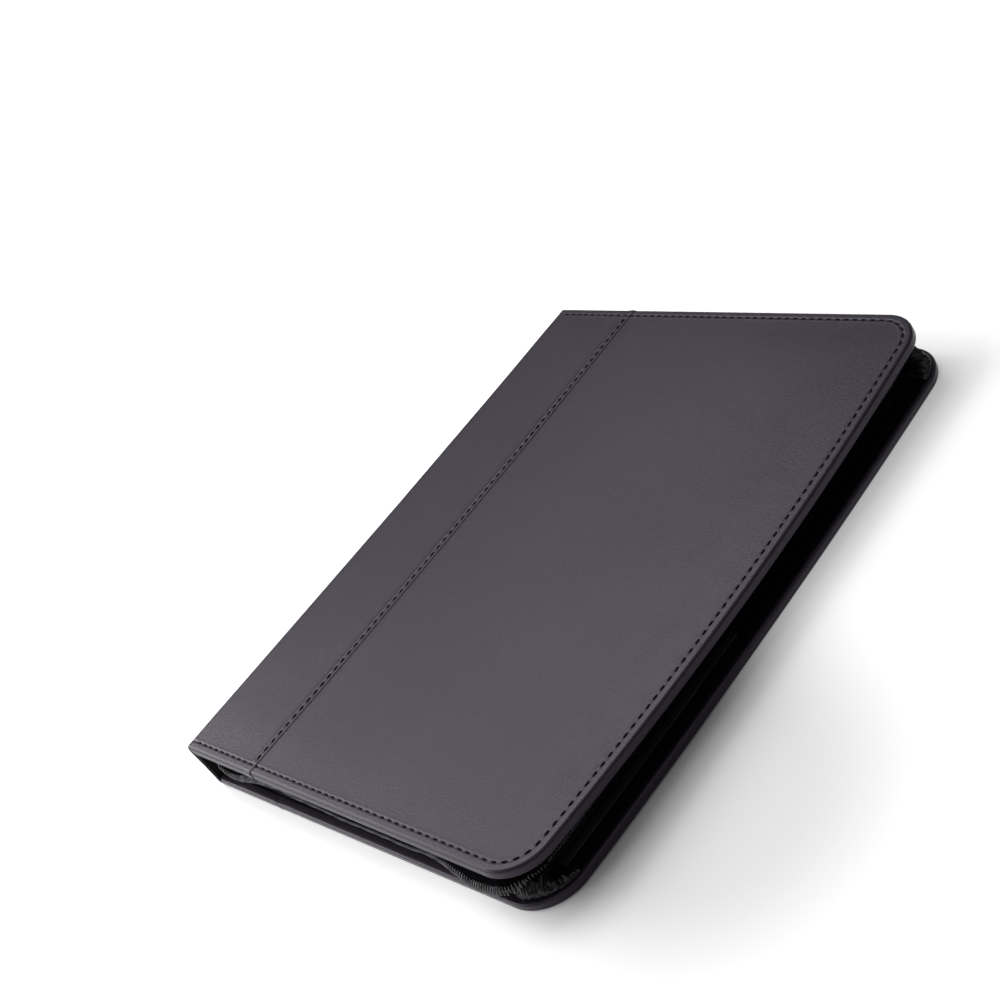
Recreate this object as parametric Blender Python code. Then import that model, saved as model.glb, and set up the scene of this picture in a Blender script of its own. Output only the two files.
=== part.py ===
"""A4 zip padfolio, lying closed and unzipped on its back cover.

Units are metres. +X runs from the spine to the fore edge, +Y from the tail edge to the head edge,
+Z up. The origin is the centre of the back cover's underside.
Every cover layer is drawn in the cover's own coordinates: x from the spine's outer face, y from the
middle of the length, depth from the outside of the skin inwards. The front cover is the mirror image.
"""

import math

import bmesh
import bpy
from mathutils import Matrix, Vector

# The A4 pad that everything is sized around
PAD_WIDTH = 0.210
PAD_LENGTH = 0.297
PAD_BACKER_THICKNESS = 0.0008
PAD_SHEETS_THICKNESS = 0.0040
PAD_TRAVEL = 0.016
PAD_SIDE_CLEARANCE = 0.0065
BINDING_THICKNESS = 0.0004
BINDING_FLAP = 0.022

# Covers
CORNER_RADIUS = 0.022
FORE_EDGE_BOW = 0.0042
COVER_DROOP = math.radians(0.9)
SKIN_THICKNESS = 0.0009
RIM_RADIUS = 0.0016
HEM_WIDTH = 0.008
FOAM_THICKNESS = 0.0010
BOARD_THICKNESS = 0.0016
LINING_THICKNESS = 0.0006
SPINE_BOARD_THICKNESS = 0.0012
PEN_BAY_WIDTH = 0.0300

# Lap seam between the spine strip and the main panel, both skived to a thin edge
STRIP_WIDTH = 0.061
LAP_WIDTH = 0.008
SKIVED_THICKNESS = 0.00035
TONGUE_THICKNESS = 0.0003
SKIVE_RAMP = 0.001

# Zip
TAPE_START = 0.026
TAPE_INSET = 0.0042
TAPE_THICKNESS = 0.0005
TAPE_EXPOSED = 0.0050
FRONT_TAPE_DROP = 0.0012
FRONT_TAPE_LEAN = math.radians(65)
PLEAT_DEPTH = 0.0008
PLEATS_PER_CORNER = 5
COIL_HEIGHT = 0.0018
COIL_WIDTH = 0.0016
COIL_PITCH = 0.0034
COIL_TURN_DEPTH = 0.00045
STOP_LENGTH = 0.003
STOP_WALL = 0.0005

# Slider and pull
SLIDER_LENGTH = 0.012
SLIDER_SHOULDER = 0.0082
SLIDER_NOSE = 0.0066
SLIDER_NOSE_LENGTH = 0.0018
SLIDER_TAIL = 0.0066
SLIDER_WALL = 0.0008
SLIDER_CLEARANCE = 0.00025
WEDGE_HEIGHT = 0.0014
WEDGE_LENGTH = 0.0045
WEDGE_SETBACK = 0.0003
LUG_LENGTH = 0.007
LUG_WIDTH = 0.0016
LUG_BAR = 0.001
PULL_LENGTH = 0.028
PULL_WIDTH = 0.0066
PULL_THICKNESS = 0.0012
PULL_CLEARANCE = 0.0003
PULL_ROUNDING = 0.00024

# Pockets and pen loop
POCKET_PANEL_THICKNESS = 0.0006
POCKET_INSET = 0.0065
SLOT_PANEL_DEPTH = 0.142
DOCUMENT_POCKET_DEPTH = 0.200
CARD_POCKETS = ("card_pocket_upper", "card_pocket_middle", "card_pocket_lower")
CARD_POCKET_THICKNESS = 0.0005
CARD_POCKET_WIDTH = 0.098
CARD_POCKET_DEPTH = 0.060
CARD_POCKET_STEP = 0.014
CARD_POCKET_MOUTH = 0.030
CARD_POCKET_START = 0.028
WINDOW_WIDTH = 0.100
WINDOW_LENGTH = 0.066
WINDOW_THICKNESS = 0.0004
WINDOW_MARGIN = 0.022
PEN_BORE = 0.011
PEN_LOOP_THICKNESS = 0.0009
PEN_LOOP_LENGTH = 0.026
PEN_LOOP_SETBACK = 0.00026
PEN_LOOP_TAB = 0.017

# Clearances between pieces
LAYER_GAP = 0.0002
PIECE_GAP = 0.0003
SLIDER_HEADROOM = 0.0004

# Facets
RIM_STEPS = 3
CORNER_STEPS = 8
BOW_STEPS = 10
PLEAT_STEPS = 6
NOSE_STEPS = 8
LOOP_SIDES = 20

# The standing tape from its seam to its free edge: share of its height, and how much it pleats there
BACK_TAPE_FOLDS = ((0, 0), (0.35, 0.15), (0.7, 1.0), (1, 0.35))
# The front tape's leaning part, likewise
FRONT_TAPE_FOLDS = ((0.5, 0.8), (1, 0.35))

# Layers of a cover, as depths from the outside of the skin
foam_depth = SKIN_THICKNESS + LAYER_GAP
board_depth = foam_depth + FOAM_THICKNESS + LAYER_GAP
board_inner_depth = board_depth + BOARD_THICKNESS
cover_thickness = board_inner_depth + LAYER_GAP + SKIN_THICKNESS
tape_depth = cover_thickness + LAYER_GAP
lining_edge_depth = tape_depth + TAPE_THICKNESS + LAYER_GAP
lining_edge_inner = lining_edge_depth + LINING_THICKNESS
lining_floor_depth = board_inner_depth + LAYER_GAP
lining_floor_inner = lining_floor_depth + LINING_THICKNESS
panel_depth = lining_edge_inner + LAYER_GAP
panel_inner = panel_depth + POCKET_PANEL_THICKNESS

# The lining's sunk floor, between the turned hems
dish_inset = HEM_WIDTH + LINING_THICKNESS + 2 * LAYER_GAP
lining_inset = TAPE_INSET + TAPE_THICKNESS + PIECE_GAP
hinge_start = SKIN_THICKNESS + PIECE_GAP
spine_lining_depth = SKIN_THICKNESS + SPINE_BOARD_THICKNESS + 2 * LAYER_GAP
lining_start = spine_lining_depth + LINING_THICKNESS + PIECE_GAP
dish_start = lining_start + HEM_WIDTH

# Cover outline. The pad's square corners stop where they meet the rounded corners of the sunk floor.
cover_width = PEN_BAY_WIDTH + PAD_WIDTH + PAD_SIDE_CLEARANCE + dish_inset
dish_corner = CORNER_RADIUS - dish_inset - PIECE_GAP
pad_overhang = max(0, CORNER_RADIUS - dish_inset - PAD_SIDE_CLEARANCE)
pad_end_inset = CORNER_RADIUS - math.sqrt(dish_corner**2 - pad_overhang**2)
cover_length = PAD_LENGTH + PAD_TRAVEL + 2 * pad_end_inset
half_length = cover_length / 2

# The back coil and the slider that rides on it
coil_inset = TAPE_INSET + TAPE_THICKNESS / 2
back_tape_top = tape_depth + TAPE_EXPOSED
coil_middle = back_tape_top + LAYER_GAP + COIL_HEIGHT / 2
slider_middle = coil_middle + COIL_HEIGHT / 2 + SLIDER_CLEARANCE + WEDGE_HEIGHT / 2
slider_top = slider_middle + SLIDER_SHOULDER / 2
slider_half_width = COIL_WIDTH / 2 + SLIDER_CLEARANCE + SLIDER_WALL
slider_start = TAPE_START + STOP_LENGTH + PIECE_GAP + SLIDER_LENGTH / 2
slider_end = cover_width - CORNER_RADIUS - SLIDER_LENGTH / 2

# The front tape drops clear of the slider's far side, then leans inwards
front_tape_bend = lining_edge_inner + FRONT_TAPE_DROP - TAPE_THICKNESS
front_tape_reach = slider_half_width + PIECE_GAP
front_tape_depth = (
    front_tape_bend
    + front_tape_reach / math.tan(FRONT_TAPE_LEAN)
    + TAPE_THICKNESS / math.sin(FRONT_TAPE_LEAN)
)
spine_height = (
    slider_top
    + SLIDER_HEADROOM
    + front_tape_depth
    + (slider_end + SLIDER_LENGTH / 2) * math.sin(COVER_DROOP)
)

# The fore edge is a shallow arc through the two square corners
bow_radius = (FORE_EDGE_BOW**2 + half_length**2) / (2 * FORE_EDGE_BOW)
bow_centre = cover_width + FORE_EDGE_BOW - bow_radius
fillet_y = half_length - CORNER_RADIUS
fillet_x = bow_centre + math.sqrt((bow_radius - CORNER_RADIUS) ** 2 - fillet_y**2)
bow_angle = math.asin(fillet_y / (bow_radius - CORNER_RADIUS))

MATERIALS = {
    "cover_leather": ((0.058, 0.054, 0.060), 0.52, 0.0),
    "pocket_leather": ((0.030, 0.029, 0.031), 0.55, 0.0),
    "lining_fabric": ((0.016, 0.016, 0.018), 0.85, 0.0),
    "padding_foam": ((0.60, 0.60, 0.58), 0.90, 0.0),
    "grey_board": ((0.33, 0.31, 0.28), 0.90, 0.0),
    "zip_tape": ((0.012, 0.012, 0.014), 0.80, 0.0),
    "zip_coil": ((0.020, 0.020, 0.022), 0.40, 0.0),
    "zip_metal": ((0.050, 0.050, 0.052), 0.35, 0.9),
    "elastic": ((0.014, 0.014, 0.016), 0.80, 0.0),
    "paper": ((0.86, 0.85, 0.80), 0.80, 0.0),
    "pad_board": ((0.42, 0.36, 0.28), 0.90, 0.0),
    "binding_tape": ((0.030, 0.030, 0.034), 0.60, 0.0),
    "clear_film": ((0.80, 0.82, 0.84), 0.15, 0.0),
}


def material(name):
    """The named finish, made once and then shared."""
    found = bpy.data.materials.get(name)
    if found:
        return found
    colour, roughness, metallic = MATERIALS[name]
    made = bpy.data.materials.new(name)
    made.use_nodes = True
    made.diffuse_color = (*colour, 1)
    shader = made.node_tree.nodes["Principled BSDF"]
    shader.inputs["Base Color"].default_value = (*colour, 1)
    shader.inputs["Roughness"].default_value = roughness
    shader.inputs["Metallic"].default_value = metallic
    return made


def body(name, location, tilt=0.0, parent=None):
    """An empty on a joint's axis that carries the pieces of one moving body."""
    empty = bpy.data.objects.new(name, None)
    empty.empty_display_size = 0.01
    empty.location = location
    empty.rotation_euler = (0, tilt, 0)
    empty.parent = parent
    bpy.context.collection.objects.link(empty)
    return empty


def finish(name, bm, carrier, finish_name, mirrored=False):
    """Turns a bmesh into a named object on its carrier. A mirrored one has its depth turned upwards."""
    if mirrored:
        bmesh.ops.scale(bm, vec=(1, 1, -1), verts=bm.verts)
    bmesh.ops.recalc_face_normals(bm, faces=bm.faces)
    mesh = bpy.data.meshes.new(name)
    bm.to_mesh(mesh)
    bm.free()
    mesh.shade_smooth()
    mesh.set_sharp_from_angle(angle=math.radians(35))
    mesh.materials.append(material(finish_name))
    obj = bpy.data.objects.new(name, mesh)
    obj.parent = carrier
    bpy.context.collection.objects.link(obj)
    return obj


def helper(obj):
    """Marks a cutter or a joined shape: it shapes another object and isn't a piece itself."""
    obj.hide_render = True
    obj.display_type = "WIRE"
    return obj


def combine(obj, operation, other):
    """Adds a Boolean of the helper to the object."""
    modifier = obj.modifiers.new(other.name, "BOOLEAN")
    modifier.operation = operation
    modifier.object = helper(other)


def round_edges(obj, width, segments=2):
    """Softens an object's sharp edges."""
    modifier = obj.modifiers.new("round", "BEVEL")
    modifier.width = width
    modifier.segments = segments
    modifier.limit_method = "ANGLE"
    modifier.angle_limit = math.radians(50)


def loft(rings):
    """A bmesh skinned over rings of equal length, with its two ends capped."""
    bm = bmesh.new()
    rows = [[bm.verts.new(point) for point in ring] for ring in rings]
    for lower, upper in zip(rows, rows[1:]):
        for i in range(len(lower)):
            after = (i + 1) % len(lower)
            bm.faces.new((lower[i], lower[after], upper[after], upper[i]))
    bm.faces.new(rows[0])
    bm.faces.new(rows[-1])
    return bm


def box(low, high):
    """A bmesh box between two corners."""
    bm = bmesh.new()
    bmesh.ops.create_cube(bm, size=1)
    size = [b - a for a, b in zip(low, high)]
    middle = Vector([(a + b) / 2 for a, b in zip(low, high)])
    bmesh.ops.scale(bm, vec=size, verts=bm.verts)
    bmesh.ops.translate(bm, vec=middle, verts=bm.verts)
    return bm


def lifted(pair, along, axis):
    """A point from two coordinates and its place along the third axis."""
    values = list(pair)
    values.insert("XYZ".index(axis), along)
    return values


def prism(outline, start, end, axis):
    """A bmesh of a flat outline pushed along X, Y or Z; the outline gives the other two, in X, Y, Z order."""
    bm = bmesh.new()
    face = bm.faces.new([bm.verts.new(lifted(pair, start, axis)) for pair in outline])
    pushed = bmesh.ops.extrude_face_region(bm, geom=[face], use_keep_orig=True)
    moved = [item for item in pushed["geom"] if isinstance(item, bmesh.types.BMVert)]
    bmesh.ops.translate(bm, vec=lifted((0, 0), end - start, axis), verts=moved)
    return bm


def corner_stations(steps, end):
    """Core point and outward direction round one fore-edge corner; end is -1 at the tail, 1 at the head."""
    turns = [-math.pi / 2 + (math.pi / 2 - bow_angle) * i / steps for i in range(steps + 1)]
    found = []
    for turn in turns:
        found.append((fillet_x, -fillet_y, math.cos(turn), math.sin(turn)))
    if end > 0:
        found = [(x, -y, nx, -ny) for x, y, nx, ny in reversed(found)]
    return found


def edge_stations(start, corner_steps=CORNER_STEPS):
    """Stations round the three free edges, from the spine end of the tail edge to that of the head edge."""
    tail = corner_stations(corner_steps, -1)
    head = corner_stations(corner_steps, 1)
    bow = []
    for i in range(1, BOW_STEPS):
        turn = bow_angle * (2 * i / BOW_STEPS - 1)
        reach = bow_radius - CORNER_RADIUS
        nx, ny = math.cos(turn), math.sin(turn)
        bow.append((bow_centre + reach * nx, reach * ny, nx, ny))
    return [(start, -fillet_y, 0, -1)] + tail + bow + head + [(start, fillet_y, 0, 1)]


def at_inset(station, inset):
    """The point that lies this far in from the cover's outline at a station."""
    x, y, nx, ny = station
    reach = CORNER_RADIUS - inset
    return (x + nx * reach, y + ny * reach)


def sheet(rings):
    """A bmesh layer of the cover's outline, skinned over rings of (inset, x at the spine side, depth)."""
    rows = []
    for inset, start, depth in rings:
        rows.append([(*at_inset(station, inset), depth) for station in edge_stations(start)])
    return loft(rows)


def rim_path(offset, thickness):
    """(inset, depth) round a cover's rounded rim, from outside to inside, this far under the surface."""
    radius = RIM_RADIUS - offset
    path = []
    for i in range(RIM_STEPS + 1):
        turn = math.pi / 2 * i / RIM_STEPS
        path.append((RIM_RADIUS - radius * math.sin(turn), RIM_RADIUS - radius * math.cos(turn)))
    return path + [(inset, thickness - depth) for inset, depth in reversed(path)]


def wrapped_section(outer, inner, hem):
    """(y, depth) of a skin that wraps the board at head and tail, between two depths under the surface."""
    outside = [(hem, cover_thickness - outer)] + rim_path(outer, cover_thickness)[::-1]
    inside = rim_path(inner, cover_thickness) + [(hem, cover_thickness - inner)]
    tail = [(inset - half_length, depth) for inset, depth in outside]
    head = [(half_length - inset, depth) for inset, depth in reversed(outside)]
    back = [(half_length - inset, depth) for inset, depth in reversed(inside)]
    front = [(inset - half_length, depth) for inset, depth in inside]
    return tail + head + back + front


def spine_strip(name, cover, mirrored):
    """The skin nearest the spine. Its far edge is skived and laps over the main panel."""
    lap_start = STRIP_WIDTH - LAP_WIDTH
    sections = [
        (hinge_start, SKIN_THICKNESS),
        (lap_start - SKIVE_RAMP, SKIN_THICKNESS),
        (lap_start, SKIVED_THICKNESS),
        (STRIP_WIDTH, SKIVED_THICKNESS),
    ]
    rings = [[(x, *pair) for pair in wrapped_section(0, depth, HEM_WIDTH)] for x, depth in sections]
    return finish(name, loft(rings), cover, "cover_leather", mirrored)


def main_panel(name, cover, mirrored):
    """The skin over the rest of the cover: a shell with a rounded rim and a hem turned in on three sides."""
    start = STRIP_WIDTH + LAYER_GAP
    clear = start - LAP_WIDTH
    outside = [(inset, start, depth) for inset, depth in rim_path(0, cover_thickness)]
    inside = [(inset, clear, depth) for inset, depth in rim_path(SKIN_THICKNESS, cover_thickness)]
    hem = [(HEM_WIDTH, clear, depth) for depth in (board_inner_depth, cover_thickness + SKIN_THICKNESS)]
    shell = finish(name, sheet(outside), cover, "cover_leather", mirrored)
    combine(shell, "DIFFERENCE", finish(name + "_cavity", sheet(inside), cover, "cover_leather", mirrored))
    combine(shell, "DIFFERENCE", finish(name + "_opening", sheet(hem), cover, "cover_leather", mirrored))
    under = SKIVED_THICKNESS + LAYER_GAP
    section = wrapped_section(under, under + TONGUE_THICKNESS, HEM_WIDTH - LAYER_GAP)
    tongue_start = STRIP_WIDTH - LAP_WIDTH + LAYER_GAP
    tongue = loft([[(x, *pair) for pair in section] for x in (tongue_start, start + SKIVE_RAMP)])
    combine(shell, "UNION", finish(name + "_tongue", tongue, cover, "cover_leather", mirrored))
    return shell


def cover_core(prefix, cover, mirrored):
    """The foam and the board that the skin wraps, and the lining sunk between the hems."""
    inset = SKIN_THICKNESS + PIECE_GAP
    foam_start = STRIP_WIDTH + LAP_WIDTH / 2
    foam = sheet([(inset, foam_start, foam_depth), (inset, foam_start, foam_depth + FOAM_THICKNESS)])
    finish(prefix + "_foam", foam, cover, "padding_foam", mirrored)
    board = sheet([(inset, hinge_start, board_depth), (inset, hinge_start, board_inner_depth)])
    finish(prefix + "_board", board, cover, "grey_board", mirrored)
    step = LINING_THICKNESS
    lining = sheet(
        [
            (dish_inset - step, dish_start - step, lining_floor_depth),
            (dish_inset - step, dish_start - step, lining_edge_depth),
            (lining_inset, lining_start, lining_edge_depth),
            (lining_inset, lining_start, lining_edge_inner),
            (dish_inset, dish_start, lining_edge_inner),
            (dish_inset, dish_start, lining_floor_inner),
        ]
    )
    finish(prefix + "_lining", lining, cover, "lining_fabric", mirrored)


def tape_middle_line(leaning):
    """(inset, depth, pleating) down the middle of the tape: straight up, or dropping, then leaning in."""
    root = tape_depth + TAPE_THICKNESS / 2
    if not leaning:
        rise = back_tape_top - root
        return [(coil_inset, root + rise * share, pleat) for share, pleat in BACK_TAPE_FOLDS]
    rest = TAPE_EXPOSED - (front_tape_bend - root)
    line = [(coil_inset, root, 0), (coil_inset, front_tape_bend, 0)]
    for share, pleat in FRONT_TAPE_FOLDS:
        inset = coil_inset + rest * share * math.sin(FRONT_TAPE_LEAN)
        line.append((inset, front_tape_bend + rest * share * math.cos(FRONT_TAPE_LEAN), pleat))
    return line


def tape_section(leaning):
    """(inset, depth, pleating) round the tape: a sewn-in flange and the standing part."""
    half = TAPE_THICKNESS / 2
    line = tape_middle_line(leaning)
    outer, inner = [], []
    for i, (inset, depth, pleat) in enumerate(line):
        before = Vector(line[max(i - 1, 0)][:2])
        after = Vector(line[min(i + 1, len(line) - 1)][:2])
        along = (after - before).normalized()
        outer.append((inset - along.y * half, depth + along.x * half, pleat))
        inner.append((inset + along.y * half, depth - along.x * half, pleat))
    outer[0] = (coil_inset - half, tape_depth, 0)
    inner[0] = (coil_inset + half, tape_depth + TAPE_THICKNESS, 0)
    flange = [(HEM_WIDTH, tape_depth + TAPE_THICKNESS, 0), (HEM_WIDTH, tape_depth, 0)]
    return outer + inner[::-1] + flange


def pleated_stations():
    """Stations for the tape, with a pleat phase that runs through both corners."""
    steps = PLEATS_PER_CORNER * PLEAT_STEPS
    found = []
    for station in edge_stations(TAPE_START, steps):
        angle = math.atan2(station[3], station[2])
        turned = (abs(angle) - bow_angle) / (math.pi / 2 - bow_angle)
        in_corner = abs(station[0] - fillet_x) < 1e-9
        found.append((station, math.sin(2 * math.pi * PLEATS_PER_CORNER * turned) if in_corner else 0.0))
    return found


def coil_stations():
    """Stations half a coil turn apart, evenly spaced along the back coil."""
    path = edge_stations(TAPE_START, PLEATS_PER_CORNER * PLEAT_STEPS)
    line = [Vector(at_inset(station, coil_inset)) for station in path]
    runs = [0.0]
    for before, after in zip(line, line[1:]):
        runs.append(runs[-1] + (after - before).length)
    count = 2 * round(runs[-1] / COIL_PITCH)
    found = []
    leg = 0
    for i in range(count + 1):
        run = runs[-1] * i / count
        while leg < len(runs) - 2 and runs[leg + 1] < run:
            leg += 1
        share = (run - runs[leg]) / (runs[leg + 1] - runs[leg])
        found.append([a + (b - a) * share for a, b in zip(path[leg], path[leg + 1])])
    return found


def coil(name, cover, mirrored, leaning):
    """The coil along the tape's free edge: its turns show as waists on one flank and then the other."""
    tip, before = [Vector(point[:2]) for point in reversed(tape_middle_line(leaning)[-2:])]
    along = (tip - before).normalized()
    across = Vector((along.y, -along.x))
    middle = tip + along * (LAYER_GAP + COIL_HEIGHT / 2)
    rings = []
    for i, station in enumerate(coil_stations()):
        near, far = COIL_WIDTH / 2, COIL_WIDTH / 2 - COIL_TURN_DEPTH
        if i % 2:
            near, far = far, near
        section = [
            middle - along * COIL_HEIGHT / 2,
            middle + across * near,
            middle + along * COIL_HEIGHT / 2,
            middle - across * far,
        ]
        rings.append([(*at_inset(station, inset), depth) for inset, depth in section])
    return finish(name, loft(rings), cover, "zip_coil", mirrored)


def zip_half(prefix, cover, mirrored, leaning):
    """One side of the zip: the tape, gathered round the corners, and the coil along its free edge."""
    section = tape_section(leaning)
    rings = []
    for station, wave in pleated_stations():
        ring = []
        for inset, depth, pleat in section:
            ring.append((*at_inset(station, inset - wave * pleat * PLEAT_DEPTH), depth))
        rings.append(ring)
    finish(prefix + "_zip_tape", loft(rings), cover, "zip_tape", mirrored)
    coil(prefix + "_zip_coil", cover, mirrored, leaning)


def zip_stop(name, cover, end):
    """A clip crimped over the end of the back coil; end is -1 at the tail, 1 at the head."""
    inner = COIL_WIDTH / 2 + LAYER_GAP
    outer = inner + STOP_WALL
    slot = TAPE_THICKNESS / 2 + LAYER_GAP
    middle = end * (half_length - coil_inset)
    top = coil_middle + COIL_HEIGHT / 2 + LAYER_GAP
    foot = coil_middle - COIL_HEIGHT / 2 - LAYER_GAP
    right = [
        (slot, foot - STOP_WALL),
        (outer, foot - STOP_WALL),
        (outer, top + STOP_WALL),
    ]
    channel = [(inner, top), (inner, foot), (slot, foot)]
    left = [(-y, z) for y, z in reversed(right)]
    left_channel = [(-y, z) for y, z in reversed(channel)]
    outline = [(middle + y, z) for y, z in right + left + left_channel + channel]
    clip = prism(outline, TAPE_START, TAPE_START + STOP_LENGTH, "X")
    return finish(name, clip, cover, "zip_metal")


def half_round(length, width):
    """(x, z) outline of a bar that is square at x = 0 and rounded off at its far end."""
    radius = width / 2
    outline = [(0, -radius)]
    for i in range(NOSE_STEPS + 1):
        turn = -math.pi / 2 + math.pi * i / NOSE_STEPS
        outline.append((length - radius + radius * math.cos(turn), radius * math.sin(turn)))
    return outline + [(0, radius)]


def zip_slider(carrier):
    """The slider: a waisted block with a coil channel, a tape slot, a wedge and a lug for the pull."""
    half = SLIDER_LENGTH / 2
    shoulder, tail = SLIDER_SHOULDER / 2, SLIDER_TAIL / 2
    thick = slider_half_width
    outline = [(-half, -tail), (0, -tail), (half - SLIDER_NOSE_LENGTH, -shoulder), (half, -SLIDER_NOSE / 2)]
    outline += [(x, -z) for x, z in reversed(outline)]
    slider = finish("zip_slider", prism(outline, -thick, thick, "Y"), carrier, "zip_metal")

    channel_half = thick - SLIDER_WALL
    reach = half + SLIDER_WALL
    low_tail = tail - SLIDER_WALL
    channel = [(-reach, -low_tail), (reach, -low_tail), (reach, low_tail), (-reach, low_tail)]
    combine(
        slider,
        "DIFFERENCE",
        finish("slider_channel", prism(channel, -channel_half, channel_half, "Y"), carrier, "zip_metal"),
    )
    slot_half = TAPE_THICKNESS / 2 + SLIDER_CLEARANCE
    slot = box((-reach, -slot_half, -SLIDER_SHOULDER), (reach, slot_half, SLIDER_SHOULDER))
    combine(slider, "DIFFERENCE", finish("slider_slot", slot, carrier, "zip_metal"))

    wedge_half = WEDGE_HEIGHT / 2
    wedge_tip = half - WEDGE_LENGTH
    wedge_waist = half - WEDGE_LENGTH / 2
    wedge_end = half - WEDGE_SETBACK
    wedge = [(wedge_tip, 0), (wedge_waist, -wedge_half), (wedge_end, -wedge_half)]
    wedge += [(wedge_end, wedge_half), (wedge_waist, wedge_half)]
    post_half = thick - SLIDER_WALL / 2
    post = finish("slider_wedge", prism(wedge, -post_half, post_half, "Y"), carrier, "zip_metal")
    combine(slider, "UNION", post)

    lug_half = LUG_LENGTH / 2
    eye = lug_half - LUG_BAR
    rise = PULL_THICKNESS + 2 * PULL_CLEARANCE
    foot = thick - SLIDER_WALL / 2
    arch = [(-lug_half, foot), (-lug_half, thick + rise), (-eye, thick + rise + LUG_BAR)]
    arch += [(-x, y) for x, y in reversed(arch)]
    arch += [(eye, foot), (eye, thick + rise), (-eye, thick + rise), (-eye, foot)]
    lug = prism(arch, -LUG_WIDTH / 2, LUG_WIDTH / 2, "Z")
    combine(slider, "UNION", finish("slider_lug", lug, carrier, "zip_metal"))
    return slider


def pull_tab(carrier):
    """The pull: a flat tab whose end bar passes under the slider's lug."""
    bar = PULL_THICKNESS / 2
    outline = [(x - bar, z) for x, z in half_round(PULL_LENGTH, PULL_WIDTH)]
    tab = finish("pull_tab", prism(outline, -bar, bar, "Y"), carrier, "zip_metal")
    rail = LUG_WIDTH / 2 + PULL_CLEARANCE
    far_lug = math.hypot(LUG_LENGTH / 2, bar + PULL_CLEARANCE + LUG_BAR)
    window = box((bar, -PULL_THICKNESS, -rail), (far_lug + PULL_CLEARANCE, PULL_THICKNESS, rail))
    combine(tab, "DIFFERENCE", finish("pull_window", window, carrier, "zip_metal"))
    round_edges(tab, PULL_ROUNDING)
    return tab


def panel(name, cover, mirrored, y_end, x_start=None, finish_name="pocket_leather"):
    """A pocket panel over the lining, from the tail edge up to its mouth at y_end."""
    start = lining_start + POCKET_INSET - lining_inset if x_start is None else x_start
    bm = sheet([(POCKET_INSET, start, panel_depth), (POCKET_INSET, start, panel_inner)])
    cut = bmesh.ops.bisect_plane(
        bm,
        geom=bm.verts[:] + bm.edges[:] + bm.faces[:],
        dist=1e-7,
        plane_co=(0, y_end, 0),
        plane_no=(0, 1, 0),
        clear_outer=True,
    )
    rim = [item for item in cut["geom_cut"] if isinstance(item, bmesh.types.BMEdge)]
    bmesh.ops.contextual_create(bm, geom=rim)
    return finish(name, bm, cover, finish_name, mirrored)


def front_pockets(cover):
    """The document pocket, the stepped card pockets on it, and the clear window above it."""
    mouth = POCKET_INSET - half_length + DOCUMENT_POCKET_DEPTH
    panel("document_pocket", cover, True, mouth)
    depth = panel_inner + LAYER_GAP
    for step, name in enumerate(CARD_POCKETS):
        top = mouth - CARD_POCKET_MOUTH - CARD_POCKET_STEP * step
        low = (CARD_POCKET_START, top - CARD_POCKET_DEPTH, depth)
        high = (CARD_POCKET_START + CARD_POCKET_WIDTH, top, depth + CARD_POCKET_THICKNESS)
        finish(name, box(low, high), cover, "pocket_leather", True)
        depth += CARD_POCKET_THICKNESS + PIECE_GAP
    top = half_length - dish_inset - WINDOW_MARGIN
    depth = lining_floor_inner + LAYER_GAP
    low = (CARD_POCKET_START, top - WINDOW_LENGTH, depth)
    high = (CARD_POCKET_START + WINDOW_WIDTH, top, depth + WINDOW_THICKNESS)
    finish("id_window", box(low, high), cover, "clear_film", True)


def round_bar(radius, length, x, z):
    """A bmesh cylinder along Y, centred on the middle of the length."""
    bm = bmesh.new()
    bmesh.ops.create_cone(
        bm, cap_ends=True, segments=LOOP_SIDES, radius1=radius, radius2=radius, depth=length
    )
    bmesh.ops.rotate(bm, cent=(0, 0, 0), matrix=Matrix.Rotation(math.pi / 2, 3, "X"), verts=bm.verts)
    bmesh.ops.translate(bm, vec=(x, 0, z), verts=bm.verts)
    return bm


def pen_loop(cover):
    """An elastic loop sewn to the lining beside the spine, open along Y."""
    floor = lining_floor_inner + LAYER_GAP
    middle = (dish_start + PEN_BAY_WIDTH) / 2
    centre = floor + PEN_LOOP_THICKNESS + PEN_BORE / 2
    half_tab = PEN_LOOP_TAB / 2
    base = box(
        (middle - half_tab, -PEN_LOOP_LENGTH / 2, floor),
        (middle + half_tab, PEN_LOOP_LENGTH / 2, floor + PEN_LOOP_THICKNESS),
    )
    loop = finish("pen_loop", base, cover, "elastic")
    hoop_length = PEN_LOOP_LENGTH - 2 * PEN_LOOP_SETBACK
    hoop = round_bar(PEN_BORE / 2 + PEN_LOOP_THICKNESS, hoop_length, middle, centre)
    combine(loop, "UNION", finish("pen_loop_hoop", hoop, cover, "elastic"))
    bore = round_bar(PEN_BORE / 2, 2 * PEN_LOOP_LENGTH, middle, centre)
    combine(loop, "DIFFERENCE", finish("pen_loop_bore", bore, cover, "elastic"))
    return loop


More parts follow.
